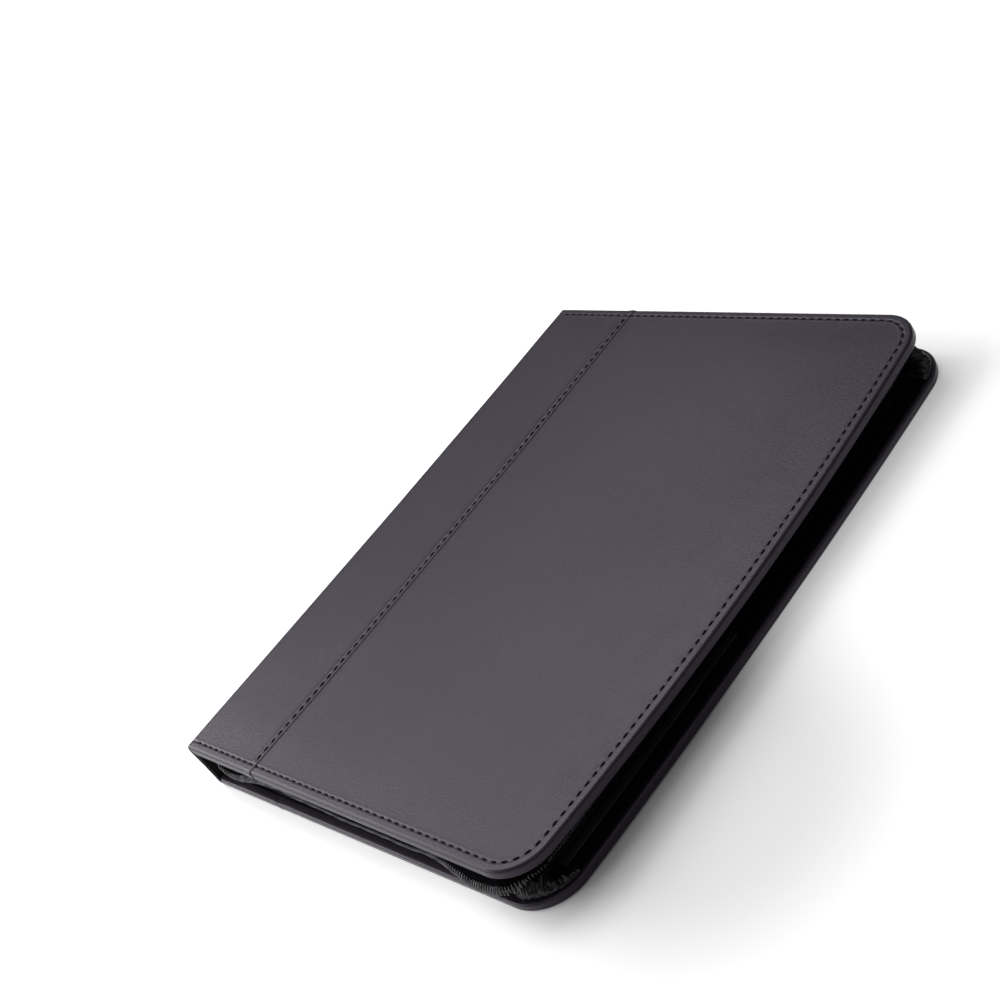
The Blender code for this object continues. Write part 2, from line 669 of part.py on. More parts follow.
def writing_pad(carrier):
    """The A4 pad: its board slides behind the slot panel, its sheets lie in front of the panel."""
    tail = pad_end_inset - half_length
    head = tail + PAD_LENGTH
    left = PEN_BAY_WIDTH
    right = left + PAD_WIDTH
    backer = lining_floor_inner + LAYER_GAP + BINDING_THICKNESS + LAYER_GAP
    backer_top = backer + PAD_BACKER_THICKNESS
    sheets = panel_inner + PIECE_GAP
    sheets_top = sheets + PAD_SHEETS_THICKNESS
    body_head = head - BINDING_THICKNESS - LAYER_GAP
    finish("pad_backer", box((left, tail, backer), (right, body_head, backer_top)), carrier, "pad_board")
    finish("pad_sheets", box((left, tail, sheets), (right, body_head, sheets_top)), carrier, "paper")
    outer_top = sheets_top + LAYER_GAP + BINDING_THICKNESS
    outer_foot = backer - LAYER_GAP - BINDING_THICKNESS
    outline = [
        (head - BINDING_FLAP, outer_foot),
        (head, outer_foot),
        (head, outer_top),
        (head - BINDING_FLAP, outer_top),
        (head - BINDING_FLAP, outer_top - BINDING_THICKNESS),
        (head - BINDING_THICKNESS, outer_top - BINDING_THICKNESS),
        (head - BINDING_THICKNESS, outer_foot + BINDING_THICKNESS),
        (head - BINDING_FLAP, outer_foot + BINDING_THICKNESS),
    ]
    finish("pad_binding", prism(outline, left, right, "X"), carrier, "binding_tape")


def spine(carrier):
    """The spine's skin, its board and its lining, between the two cover hinges."""
    low = PIECE_GAP
    high = spine_height - PIECE_GAP
    board_low = lining_edge_inner + PIECE_GAP
    board_high = spine_height - board_low
    half_skin = half_length - PIECE_GAP
    third = SKIN_THICKNESS / 3
    skin = [(0, low + SKIN_THICKNESS), (0, high - SKIN_THICKNESS), (third, high - third)]
    skin += [(SKIN_THICKNESS, high), (SKIN_THICKNESS, low), (third, low + third)]
    finish("spine_skin", prism(skin, -half_skin, half_skin, "Y"), carrier, "cover_leather")
    board = box(
        (SKIN_THICKNESS + LAYER_GAP, -half_length + SKIN_THICKNESS, board_low),
        (SKIN_THICKNESS + LAYER_GAP + SPINE_BOARD_THICKNESS, half_length - SKIN_THICKNESS, board_high),
    )
    finish("spine_board", board, carrier, "grey_board")
    lining = box(
        (spine_lining_depth, -half_length + SKIN_THICKNESS, board_low),
        (spine_lining_depth + LINING_THICKNESS, half_length - SKIN_THICKNESS, board_high),
    )
    finish("spine_lining", lining, carrier, "lining_fabric")


def build():
    for old in list(bpy.data.objects):
        bpy.data.objects.remove(old)

    back = body("back_cover_body", (-cover_width / 2, 0, 0))
    spine_carrier = body("spine_body", (0, 0, 0), parent=back)
    front = body("front_cover_body", (0, 0, spine_height), COVER_DROOP, parent=spine_carrier)

    spine_strip("back_spine_strip", back, False)
    main_panel("back_main_panel", back, False)
    cover_core("back", back, False)
    zip_half("back", back, False, leaning=False)
    zip_stop("zip_stop_tail", back, -1)
    zip_stop("zip_stop_head", back, 1)
    slot_mouth = POCKET_INSET - half_length + SLOT_PANEL_DEPTH
    panel("pad_slot_panel", back, False, slot_mouth, PEN_BAY_WIDTH - PAD_SIDE_CLEARANCE)
    pen_loop(back)

    spine(spine_carrier)

    spine_strip("front_spine_strip", front, True)
    main_panel("front_main_panel", front, True)
    cover_core("front", front, True)
    zip_half("front", front, True, leaning=True)
    front_pockets(front)

    slider_place = (slider_start, half_length - coil_inset, slider_middle)
    slider_carrier = body("zip_slider_body", slider_place, parent=back)
    zip_slider(slider_carrier)
    pivot = slider_half_width + PULL_CLEARANCE + PULL_THICKNESS / 2
    pull_tab(body("pull_tab_body", (0, pivot, 0), parent=slider_carrier))

    writing_pad(body("writing_pad_body", (0, 0, 0), parent=back))

    print("cover", round(cover_width + FORE_EDGE_BOW, 4), "x", round(cover_length, 4), "m")
    print("spine height", round(spine_height, 4), "m")


build()
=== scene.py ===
import math

import bmesh
import bpy
from mathutils import Matrix, Vector, noise


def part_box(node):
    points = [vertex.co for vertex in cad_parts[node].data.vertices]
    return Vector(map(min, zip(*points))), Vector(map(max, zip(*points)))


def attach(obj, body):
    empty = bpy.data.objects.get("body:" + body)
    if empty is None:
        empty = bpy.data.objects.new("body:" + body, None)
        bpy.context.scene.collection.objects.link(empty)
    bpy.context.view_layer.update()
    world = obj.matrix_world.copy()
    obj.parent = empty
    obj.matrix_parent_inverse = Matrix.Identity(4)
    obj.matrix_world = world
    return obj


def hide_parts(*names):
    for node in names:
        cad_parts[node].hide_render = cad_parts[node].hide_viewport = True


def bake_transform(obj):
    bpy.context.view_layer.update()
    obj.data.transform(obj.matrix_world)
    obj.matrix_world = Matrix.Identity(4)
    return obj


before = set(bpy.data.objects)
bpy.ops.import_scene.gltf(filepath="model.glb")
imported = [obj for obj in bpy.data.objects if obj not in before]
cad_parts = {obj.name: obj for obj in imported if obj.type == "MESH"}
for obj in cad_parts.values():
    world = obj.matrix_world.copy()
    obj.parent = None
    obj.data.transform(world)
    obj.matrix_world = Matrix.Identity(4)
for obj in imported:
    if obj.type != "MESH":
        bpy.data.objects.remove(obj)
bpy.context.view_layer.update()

# Zip padfolio, lying closed and unzipped on its back cover. Metres, +Z up.
# Cover pieces are drawn flat first: x from the spine's outer face, y from the middle of the length,
# depth from the outside of the skin inwards. The place function then lays them on their cover.

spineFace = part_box("spine_skin")[0].x
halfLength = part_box("back_main_panel")[1].y
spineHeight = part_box("front_spine_strip")[1].z

cover = {
    "bow": 0.0042,          # swell of the fore edge at mid-length
    "droop": math.radians(0.9),
    "sagSpine": 0.0012,     # how far the front cover sags at mid-length, at the spine
    "sagFore": 0.0044,      # and at the fore edge
    "leanOut": 0.0013,      # the front cover sits this much further out over the spine
    "thickness": 0.0050,
    "spineThickness": 0.0026,
    "spineRound": 0.0030,
    "topRound": 0.0017,
    "footRound": 0.0010,
    "lip": 0.00012,         # the foot of the rim stands out this far
    "hem": 0.0080,
    "seam": 0.0612,         # edge of the spine strip
    "seamStitch": 0.0027,   # stitch row, this far behind that edge
    "seamSpread": 1.35,     # its groove is this much wider than the edge row's
    "stitchInset": 0.0049,
    "grooveDepth": 0.00018,
    "grooveWidth": 0.00055,
    "puckerDepth": 0.00015,
    "ridge": 0.00005,       # the skin swells a little beside a stitched groove
    "skin": 0.0009,
    "field": 0.030,         # the rim's rings of points reach this far in
    "under": 0.0035,        # the main panel runs on under the strip
    "press": 0.00010,       # the padding is pressed flatter inside the rim
    "wave": 0.00022,        # height of its slow waves
}

sides = {
    "back": {"width": 0.2576, "corner": 0.0235, "spacing": 0.0026},
    "front": {"width": 0.2541, "corner": 0.0208, "spacing": 0.00135},
}

stitch = {"pitch": 0.0053, "length": 0.0036, "radius": 0.00038, "start": 0.0062, "dive": 0.00045}

lap = {"step": 0.00022, "ramp": 0.0045, "lift": 0.00022, "bump": 0.00030, "round": 0.0010}

hemPleats = {"count": 8, "height": 0.00030}

zipTape = {
    "start": 0.0215,
    "rootInset": 0.00445,
    "rootDepth": 0.0052,
    "thickness": 0.0005,
    "length": 0.0052,
    "foreLength": 0.0096,           # wider where the back tape lies inwards
    "foreInset": 0.0024,
    "foreLean": math.radians(80),
    "standsUp": 0.62,               # but less so in the tail corner
    "coilReach": {"back": 0.0016, "front": 0.0022},
    "coilOut": {"back": 0.00088, "front": 0.0003},      # its middle, past the tape's edge
    "coilHalfThick": 0.0010,
    "coilPitch": 0.00158,
    "wire": 0.00036,
    "pleatsPerCorner": 13,
    "pleatHeight": 0.0014,
    "step": 0.0012,                 # between points along the tape
    "gatheredStep": 0.00036,
}

bpy.context.scene.unit_settings.scale_length = 1.0


def ease(value, low, high):
    share = min(1, max(0, (value - low) / (high - low)))
    return share * share * (3 - 2 * share)


def mix(a, b, share):
    return a + (b - a) * share


def bump(value, middle, width):
    return math.exp(-(((value - middle) / width) ** 2))


# Placing on the covers

def outline(side):
    return sides[side]["width"], sides[side]["corner"]


def sagAt(x, y):
    reach = x / sides["front"]["width"]
    return mix(cover["sagSpine"], cover["sagFore"], reach) * (1 - (y / halfLength) ** 2)


def place(side, x, y, depth):
    x = x + cover["bow"] * (1 - (y / halfLength) ** 2) * max(0, x / sides[side]["width"]) ** 2
    if side == "back":
        return Vector((spineFace + x, y, depth))
    turn = cover["droop"]
    across = spineFace - cover["leanOut"] + x * math.cos(turn) - depth * math.sin(turn)
    height = spineHeight - x * math.sin(turn) - depth * math.cos(turn) - sagAt(x, y)
    return Vector((across, y, height))


def placeNearSpine(side, x, y, depth):
    # Round the spine corner the two covers' own places run together at mid-height
    height = depth if side == "back" else spineHeight - depth
    middle = Vector((spineFace + x, y, height))
    return place(side, x, y, depth).lerp(middle, ease(depth, 0, spineHeight / 2))


def edgeLengths(side):
    # The runs round the three free edges: tail, tail corner, fore edge, head corner, head
    width, corner = outline(side)
    straight = width - corner - zipTape["start"]
    arc = corner * math.pi / 2
    return [straight, arc, 2 * (halfLength - corner), arc, straight]


def edgeAt(side, share, inset, start=None):
    # A share of 0 to 1 is the tail run, 1 to 2 its corner, and so on to 5
    width, corner = outline(side)
    start = zipTape["start"] if start is None else start
    zone = min(4, int(share))
    part = share - zone
    low = halfLength - corner
    if zone == 0:
        return mix(start, width - corner, part), inset - halfLength
    if zone == 4:
        return mix(width - corner, start, part), halfLength - inset
    if zone == 2:
        return width - inset, mix(-low, low, part)
    turn = math.pi / 2 * (part - 1 if zone == 1 else part)
    reach = corner - inset
    end = -low if zone == 1 else low
    return width - corner + reach * math.cos(turn), end + reach * math.sin(turn)


def edgeShares(side):
    # Close together in the gathered corners
    shares = []
    for zone, length in enumerate(edgeLengths(side)):
        steps = round(length / zipTape["gatheredStep" if zone in (1, 3) else "step"])
        shares += [zone + i / steps for i in range(steps)]
    return shares + [5.0]


# Mesh helpers

def runLengths(points):
    # How far along the line each point lies
    lengths = [0.0]
    for a, b in zip(points, points[1:]):
        lengths.append(lengths[-1] + (b - a).length)
    return lengths


def mapFlat(bm, spotOf):
    # A UV map in metres
    layer = bm.loops.layers.uv.new("UVMap")
    for face in bm.faces:
        for loop in face.loops:
            loop[layer].uv = spotOf(loop.vert)


def meshOf(name, bm):
    mesh = bpy.data.meshes.new(name)
    bm.to_mesh(mesh)
    bm.free()
    return mesh


def cutAcross(bm, y):
    # New edges across the length, so that the piece can bend there
    geometry = bm.verts[:] + bm.edges[:] + bm.faces[:]
    bmesh.ops.bisect_plane(bm, geom=geometry, dist=1e-7, plane_co=(0, y, 0), plane_no=(0, 1, 0))


def gridPiece(rows):
    # A grid laid through rows of points
    tall, wide = len(rows), len(rows[0])
    bm = bmesh.new()
    bmesh.ops.create_grid(bm, x_segments=wide - 1, y_segments=tall - 1, size=0.5)
    bm.verts.ensure_lookup_table()
    along = runLengths([row[wide // 2] for row in rows])
    across = runLengths(rows[tall // 2])
    for i, vert in enumerate(bm.verts):
        vert.co = rows[i // wide][i % wide]
    mapFlat(bm, lambda vert: (across[vert.index % wide], along[vert.index // wide]))
    return bm


def addObject(name, data):
    obj = bpy.data.objects.new(name, data)
    bpy.context.scene.collection.objects.link(obj)
    return obj


def addPiece(name, bm, finish, sharp=None):
    mesh = meshOf(name, bm)
    mesh.shade_smooth()
    if sharp:
        mesh.set_sharp_from_angle(angle=math.radians(sharp))
    mesh.materials.append(finishes[finish])
    obj = addObject(name, mesh)
    return obj


def sheetPiece(name, rows, towards, finish, thickness, offset=-1):
    # A sheet through rows of points, its faces turned the given way on the whole, then thickened
    bm = gridPiece(rows)
    if towards:
        total = sum((face.normal.dot(Vector(towards)) * face.calc_area() for face in bm.faces), 0.0)
        if total < 0:
            bmesh.ops.reverse_faces(bm, faces=bm.faces[:])
    obj = addPiece(name, bm, finish)
    modifier = obj.modifiers.new("thickness", "SOLIDIFY")
    modifier.thickness = thickness
    modifier.offset = offset
    return obj


def tubePiece(name, points, radius, finish):
    # A tube through the points, as a mesh
    curve = bpy.data.curves.new(name, "CURVE")
    curve.dimensions = "3D"
    curve.bevel_depth = radius
    curve.bevel_resolution = 0
    curve.use_fill_caps = True
    spline = curve.splines.new("POLY")
    spline.points.add(len(points) - 1)
    for knot, point in zip(spline.points, points):
        knot.co = (*point, 1)
    holder = addObject(name + "_line", curve)
    bpy.context.view_layer.update()
    graph = bpy.context.evaluated_depsgraph_get()
    mesh = bpy.data.meshes.new_from_object(holder.evaluated_get(graph))
    bpy.data.objects.remove(holder)
    mesh.name = name
    mesh.materials.clear()
    mesh.materials.append(finishes[finish])
    mesh.shade_smooth()
    obj = addObject(name, mesh)
    return obj


# Materials

def newMaterial(name):
    made = bpy.data.materials.new(name)
    made.use_nodes = True
    return made, made.node_tree, made.node_tree.nodes["Principled BSDF"]


def setSocket(tree, socket, value):
    # A number, a colour, a vector, or the output of another node
    if hasattr(value, "links"):
        tree.links.new(value, socket)
    elif socket.type == "RGBA":
        socket.default_value = (*value, 1)
    else:
        socket.default_value = value


def feed(tree, node, **inputs):
    for key, value in inputs.items():
        setSocket(tree, node.inputs[key.replace("_", " ")], value)
    return node.outputs


def addNode(tree, kind, **inputs):
    return feed(tree, tree.nodes.new(kind), **inputs)


def mathOn(tree):
    def calc(operation, *values):
        node = tree.nodes.new("ShaderNodeMath")
        node.operation = operation
        for socket, value in zip(node.inputs, values):
            setSocket(tree, socket, value)
        return node.outputs[0]
    return calc


def mixColour(tree, factor, first, second):
    node = tree.nodes.new("ShaderNodeMix")
    node.data_type = "RGBA"
    for i, value in ((0, factor), (6, first), (7, second)):
        setSocket(tree, node.inputs[i], value)
    return node.outputs[2]


def coordinates(tree, kind="Object"):
    return tree.nodes.new("ShaderNodeTexCoord").outputs[kind]


def noiseOf(tree, **inputs):
    return addNode(tree, "ShaderNodeTexNoise", Vector=coordinates(tree), **inputs)["Fac"]


def bumpOf(tree, height, strength, distance):
    return addNode(tree, "ShaderNodeBump", Height=height, Strength=strength, Distance=distance)["Normal"]


def smoothRamp(tree, value, low, high):
    # 0 at the low value, 1 at the high one
    node = tree.nodes.new("ShaderNodeMapRange")
    node.interpolation_type = "SMOOTHSTEP"
    return feed(tree, node, Value=value, From_Min=low, From_Max=high)["Result"]


def newGroup(name, takes, gives):
    tree = bpy.data.node_groups.new(name, "ShaderNodeTree")
    for way, labels in (("INPUT", takes), ("OUTPUT", gives)):
        for label in labels:
            kind = "NodeSocketColor" if label.endswith("Colour") else "NodeSocketFloat"
            tree.interface.new_socket(label, in_out=way, socket_type=kind)
    return tree, tree.nodes.new("NodeGroupInput").outputs, tree.nodes.new("NodeGroupOutput")


def useGroup(tree, group, **inputs):
    node = tree.nodes.new("ShaderNodeGroup")
    node.node_tree = group
    return feed(tree, node, **inputs)


def makeLeatherGrain():
    # Pebbled coating: cells with soft valleys, short crease marks, slow changes of tone, specks of dust
    takes = ("Colour", "Worn Colour", "Cell Scale", "Rough")
    tree, given, result = newGroup("coated grain", takes, ("Colour", "Roughness", "Height"))
    calc = mathOn(tree)
    cells = tree.nodes.new("ShaderNodeTexVoronoi")
    cells.feature = "SMOOTH_F1"
    feed(tree, cells, Vector=coordinates(tree), Scale=given["Cell Scale"], Smoothness=0.6, Randomness=0.9)
    creases = noiseOf(tree, Scale=240.0, Detail=4.0, Roughness=0.6, Distortion=1.1)
    patches = noiseOf(tree, Scale=38.0, Detail=2.0, Roughness=0.5)
    slow = noiseOf(tree, Scale=9.0, Detail=3.0, Roughness=0.55)
    specks = noiseOf(tree, Scale=1900.0, Detail=2.0, Roughness=0.6)
    dust = addNode(tree, "ShaderNodeTexVoronoi", Vector=coordinates(tree), Scale=62.0, Randomness=1.0)
    # Short crease marks come and go in patches
    crease = calc("ABSOLUTE", calc("SUBTRACT", creases, 0.5))
    crease = calc("SUBTRACT", 1.0, calc("MINIMUM", calc("MULTIPLY", crease, 22.0), 1.0))
    where = addNode(tree, "ShaderNodeMapRange", Value=patches, From_Min=0.50, From_Max=0.66)
    crease = calc("MULTIPLY", crease, where["Result"])
    height = calc("MULTIPLY", cells.outputs["Distance"], -0.55)
    height = calc("MULTIPLY_ADD", specks, 0.45, height)
    height = calc("MULTIPLY_ADD", crease, -0.22, height)
    tone = calc("MULTIPLY_ADD", slow, 0.9, -0.15)
    tone = addNode(tree, "ShaderNodeClamp", Value=calc("MULTIPLY_ADD", specks, 0.5, tone))["Result"]
    colour = mixColour(tree, tone, given["Colour"], given["Worn Colour"])
    speck = calc("LESS_THAN", dust["Distance"], 0.013)
    colour = mixColour(tree, calc("MULTIPLY", speck, 0.35), colour, (0.5, 0.5, 0.5))
    rough = calc("MULTIPLY_ADD", specks, 0.12, given["Rough"])
    rough = calc("MULTIPLY_ADD", slow, -0.10, rough)
    feed(tree, result, Colour=colour, Roughness=rough, Height=height)
    return tree


def makeWeave():
    # Ribbed cloth on the piece's own UV map, in metres: wales across, picks along
    takes = ("Colour", "Light Colour", "Wale", "Pick", "Slant")
    tree, given, result = newGroup("cloth weave", takes, ("Colour", "Height"))
    calc = mathOn(tree)
    at = addNode(tree, "ShaderNodeSeparateXYZ", Vector=coordinates(tree, "UV"))
    across = calc("DIVIDE", at["X"], given["Wale"])
    along = calc("DIVIDE", at["Y"], given["Pick"])
    along = calc("MULTIPLY_ADD", calc("PINGPONG", across, 1.0), given["Slant"], along)
    yarn = calc("SINE", calc("MULTIPLY", along, 2 * math.pi))
    wale = calc("SINE", calc("MULTIPLY", across, 2 * math.pi))
    height = calc("MULTIPLY_ADD", wale, 0.2, calc("MULTIPLY_ADD", yarn, 0.5, 0.5))
    height = calc("MULTIPLY_ADD", noiseOf(tree, Scale=2600.0, Detail=2.0), 0.3, height)
    colour = mixColour(tree, height, given["Colour"], given["Light Colour"])
    feed(tree, result, Colour=colour, Height=height)
    return tree


leatherGrain = makeLeatherGrain()
clothWeave = makeWeave()


def leather(name, colour, worn, rough, cellScale=1300.0, grain=0.00006, level=0.14):
    made, tree, shader = newMaterial(name)
    skin = useGroup(tree, leatherGrain, Colour=colour, Worn_Colour=worn, Cell_Scale=cellScale, Rough=rough)
    dents = bumpOf(tree, skin["Height"], 0.6, grain)
    feed(tree, shader, Base_Color=skin["Colour"], Roughness=skin["Roughness"], Normal=dents)
    feed(tree, shader, Specular_IOR_Level=level, Specular_Tint=(0.92, 0.82, 1.0))
    return made


def cloth(name, colour, light, wale, pick, slant, depth, rough=0.85, level=0.25):
    made, tree, shader = newMaterial(name)
    weave = useGroup(tree, clothWeave, Colour=colour, Light_Colour=light, Wale=wale, Pick=pick, Slant=slant)
    dents = bumpOf(tree, weave["Height"], 0.8, depth)
    feed(tree, shader, Base_Color=weave["Colour"], Roughness=rough, Specular_IOR_Level=level, Normal=dents)
    return made


def grained(name, colour, light, scale, rough, depth, metallic=0.0, level=0.5):
    made, tree, shader = newMaterial(name)
    grain = noiseOf(tree, Scale=scale, Detail=4.0, Roughness=0.6)
    varied = mathOn(tree)("MULTIPLY_ADD", grain, 0.15, rough)
    feed(tree, shader, Base_Color=mixColour(tree, grain, colour, light), Roughness=varied, Metallic=metallic)
    feed(tree, shader, Specular_IOR_Level=level, Normal=bumpOf(tree, grain, 0.5, depth))
    return made


ruled = {
    "pitch": 0.0080,
    "line": 0.00030,
    "head": 0.045,
    "foot": 0.012,
    "margin": 0.028,
    "leaf": 0.00022,
}


def ruledPaper():
    # Feint lines across the sheet, a margin line, and the leaf edges as fine layers on the sides
    low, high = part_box("pad_sheets")
    made, tree, shader = newMaterial("ruled paper")
    calc = mathOn(tree)
    at = addNode(tree, "ShaderNodeSeparateXYZ", Vector=coordinates(tree))
    normal = tree.nodes.new("ShaderNodeNewGeometry").outputs["Normal"]
    facing = addNode(tree, "ShaderNodeSeparateXYZ", Vector=normal)["Z"]
    line = calc("LESS_THAN", calc("MODULO", calc("ADD", at["Y"], 1.0), ruled["pitch"]), ruled["line"])
    line = calc("MULTIPLY", line, calc("LESS_THAN", at["Y"], high.y - ruled["head"]))
    line = calc("MULTIPLY", line, calc("GREATER_THAN", at["Y"], low.y + ruled["foot"]))
    offset = calc("ABSOLUTE", calc("SUBTRACT", at["X"], low.x + ruled["margin"]))
    margin = calc("LESS_THAN", offset, ruled["line"] / 2)
    top = calc("GREATER_THAN", facing, 0.6)
    fibres = noiseOf(tree, Scale=700.0, Detail=4.0)
    paper = mixColour(tree, fibres, (0.80, 0.79, 0.74), (0.88, 0.87, 0.83))
    paper = mixColour(tree, calc("MULTIPLY", line, top), paper, (0.38, 0.48, 0.62))
    paper = mixColour(tree, calc("MULTIPLY", margin, top), paper, (0.62, 0.26, 0.26))
    layers = calc("SINE", calc("MULTIPLY", at["Z"], 2 * math.pi / ruled["leaf"]))
    layers = calc("MULTIPLY_ADD", layers, 0.5, 0.5)
    edge = calc("LESS_THAN", calc("ABSOLUTE", facing), 0.5)
    paper = mixColour(tree, calc("MULTIPLY", layers, edge), paper, (0.55, 0.53, 0.48))
    feed(tree, shader, Base_Color=paper, Roughness=0.8, Normal=bumpOf(tree, fibres, 0.4, 0.00004))
    return made


def clearFilm():
    made, tree, shader = newMaterial("clear film")
    ripple = noiseOf(tree, Scale=60.0, Detail=2.0)
    tint = mixColour(tree, ripple, (0.75, 0.77, 0.80), (0.86, 0.88, 0.90))
    rough = mathOn(tree)("MULTIPLY_ADD", ripple, 0.1, 0.05)
    feed(tree, shader, Base_Color=tint, Roughness=rough, Alpha=0.12)
    feed(tree, shader, Normal=bumpOf(tree, ripple, 0.4, 0.0004))
    return made


finishes = {
    "cover": leather(
        "cover leather", (0.018, 0.0140, 0.022), (0.027, 0.021, 0.031), 0.31, grain=0.00017, level=0.23,
    ),
    "pocket": leather("pocket leather", (0.022, 0.020, 0.023), (0.035, 0.032, 0.036), 0.45, 1500.0),
    "lining": cloth(
        "lining cloth", (0.007, 0.007, 0.008), (0.020, 0.020, 0.022),
        wale=0.00045, pick=0.00045, slant=0.0, depth=0.00008, level=0.12,
    ),
    "tape": cloth(
        "zip tape cloth", (0.0015, 0.0014, 0.0018), (0.006, 0.0055, 0.007),
        wale=0.0016, pick=0.0007, slant=1.6, depth=0.00014, rough=0.7, level=0.0,
    ),
    "gathers": cloth(
        "gathered satin", (0.002, 0.0018, 0.0022), (0.006, 0.0056, 0.007),
        wale=0.0008, pick=0.0005, slant=0.0, depth=0.00002, rough=0.27, level=0.28,
    ),
    "elastic": cloth(
        "ribbed elastic", (0.008, 0.008, 0.009), (0.030, 0.030, 0.032),
        wale=0.0016, pick=0.0008, slant=0.0, depth=0.00025, level=0.15,
    ),
    "thread": grained(
        "sewing thread", (0.003, 0.003, 0.003), (0.010, 0.009, 0.011), 2200.0, 0.6, 0.00008, level=0.06,
    ),
    "coil": grained("nylon coil", (0.045, 0.043, 0.049), (0.110, 0.106, 0.116), 500.0, 0.28, 0.00002),
    # A much darker copy of the nylon coil for the back half: painted shade for the gap between the covers,
    # where that coil lies
    "shadeDarkCoil": grained(
        "matt nylon coil with painted shade", (0.004, 0.004, 0.005), (0.014, 0.013, 0.015), 500.0, 0.5, 0.00002, level=0.1,
    ),
    "metal": grained(
        "black enamel", (0.020, 0.020, 0.021), (0.045, 0.045, 0.046), 900.0, 0.28, 0.00002, metallic=0.6,
    ),
    "foam": grained("padding foam", (0.50, 0.50, 0.48), (0.66, 0.66, 0.64), 1800.0, 0.85, 0.0001),
    "board": grained("grey board", (0.26, 0.24, 0.21), (0.38, 0.36, 0.33), 600.0, 0.85, 0.0001),
    "padBoard": grained("pad board", (0.36, 0.30, 0.22), (0.46, 0.40, 0.31), 500.0, 0.85, 0.0001),
    "binding": grained(
        "binding tape", (0.020, 0.020, 0.023), (0.040, 0.040, 0.044), 1500.0, 0.5, 0.00006,
    ),
    "paper": ruledPaper(),
    "film": clearFilm(),
}


# Outer skins

def rimProfile(thickness, hem, field):
    # (inset, depth) from the hem's end, round the rim and in over the top to the field
    foot, top, lip = cover["footRound"], cover["topRound"], cover["lip"]
    profile = [(hem, thickness), (hem * 0.6, thickness), (hem * 0.3, thickness)]
    steps = 4
    finest, coarsest = 0.0005, 0.0016
    for i in range(steps + 1):
        turn = math.pi / 2 * i / steps
        profile.append((foot - foot * math.sin(turn), thickness - foot + foot * math.cos(turn)))
    profile.append((lip * 0.6, thickness - foot - 0.0003))
    for i in range(steps + 1):
        turn = math.pi / 2 * i / steps
        profile.append((mix(lip, top, 1 - math.cos(turn)), top - top * math.sin(turn)))
    inset = top
    step = finest
    pastStitches = cover["stitchInset"] + 0.0019
    while inset < field - step:
        inset += step
        profile.append((inset, 0.0))
        step = step if inset < pastStitches else min(step * 1.25, coarsest)
    profile.append((field, 0.0))
    return profile


def stitchedGroove(offset, phase):
    # Depth of the dip beside a stitch row: the skin puckers up between stitches and swells on both sides
    pucker = math.cos(2 * math.pi * phase)
    dip = bump(offset, 0, cover["grooveWidth"]) * (cover["grooveDepth"] - cover["puckerDepth"] * pucker)
    swell = bump(abs(offset), 2 * cover["grooveWidth"], cover["grooveWidth"]) * cover["ridge"]
    return dip - swell * (1 + 0.5 * pucker)


def topRelief(side, x, y, inset):
    # How far the outside dips at a place: the stitched groove, its puckers, and slow waves of the padding
    dip = stitchedGroove(inset - cover["stitchInset"], stitchPhase(side, x, y))
    field = ease(inset, 0.006, 0.022) * cover["press"]
    wave = noise.noise(Vector((x * 14, y * 14, 0.3 if side == "front" else 5.7))) * cover["wave"]
    return dip - field + wave * ease(inset, 0.006, 0.03)


def stitchPhase(side, x, y):
    # How many stitches lie between the start of the edge row and a place near it
    width, corner = outline(side)
    low = halfLength - corner
    straight = width - corner - stitch["start"]
    reach = corner - cover["stitchInset"]
    arc = reach * math.pi / 2
    total = 2 * straight + 2 * arc + 2 * low
    dx, dy = x - (width - corner), abs(y) - low
    if dx > 0 and dy <= 0:
        run = straight + arc + y + low
    else:
        run = min(x - stitch["start"], straight)
        if dx > 0:
            run += reach * math.atan2(dx, dy)
        run = run if y < 0 else total - run
    return run / (total / round(total / stitch["pitch"]))


def mainSkin(side):
    # One grid over the panel: its outer rows and columns run round the rim and under as the hem
    start = cover["seam"] - cover["under"]
    width, spacing = sides[side]["width"], sides[side]["spacing"]
    field = cover["field"]
    profile = rimProfile(cover["thickness"], cover["hem"], field)
    last = len(profile) - 1
    columnCount = round((width - field - start) / spacing)
    rowCount = round(2 * (halfLength - field) / spacing)
    columns = [(None, mix(start, width - field, i / columnCount)) for i in range(columnCount)]
    columns += [(k, None) for k in range(last, -1, -1)]
    rowsAt = [(k, None, -1) for k in range(last)]
    reach = halfLength - field
    rowsAt += [(None, mix(-reach, reach, j / rowCount), 0) for j in range(rowCount + 1)]
    rowsAt += [(k, None, 1) for k in range(last - 1, -1, -1)]
    rows = []
    for ringY, yPlain, end in rowsAt:
        row = []
        for ringX, xPlain in columns:
            kx = last if ringX is None else ringX
            ky = last if ringY is None else ringY
            ring = min(kx, ky)
            inset, depth = profile[ring]
            if ringX is None and ringY is None:
                x, y = xPlain, yPlain
                inset = min(width - x, halfLength - abs(y))
            elif ringX is None:
                x, y = xPlain, end * (halfLength - inset)
            elif ringY is None:
                x, y = width - inset, yPlain
            else:
                x, y = cornerPoint(side, profile, ring, kx, ky, end, field)
            if depth < cover["thickness"] / 2:
                depth += topRelief(side, x, y, inset)
                depth += lap["step"] * ease(cover["seam"] + 0.0007 - x, 0, 0.0008)
            elif ring < 3:
                depth -= hemPleat(side, x, y, inset)
            row.append(place(side, x, y, depth))
        rows.append(row)
    name, towards = side + "_cover_skin", (0, 0, 1 if side == "front" else -1)
    obj = sheetPiece(name, rows, towards, "cover", cover["skin"] * 0.8)
    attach(obj, side + "_cover")
    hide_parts(side + "_main_panel")


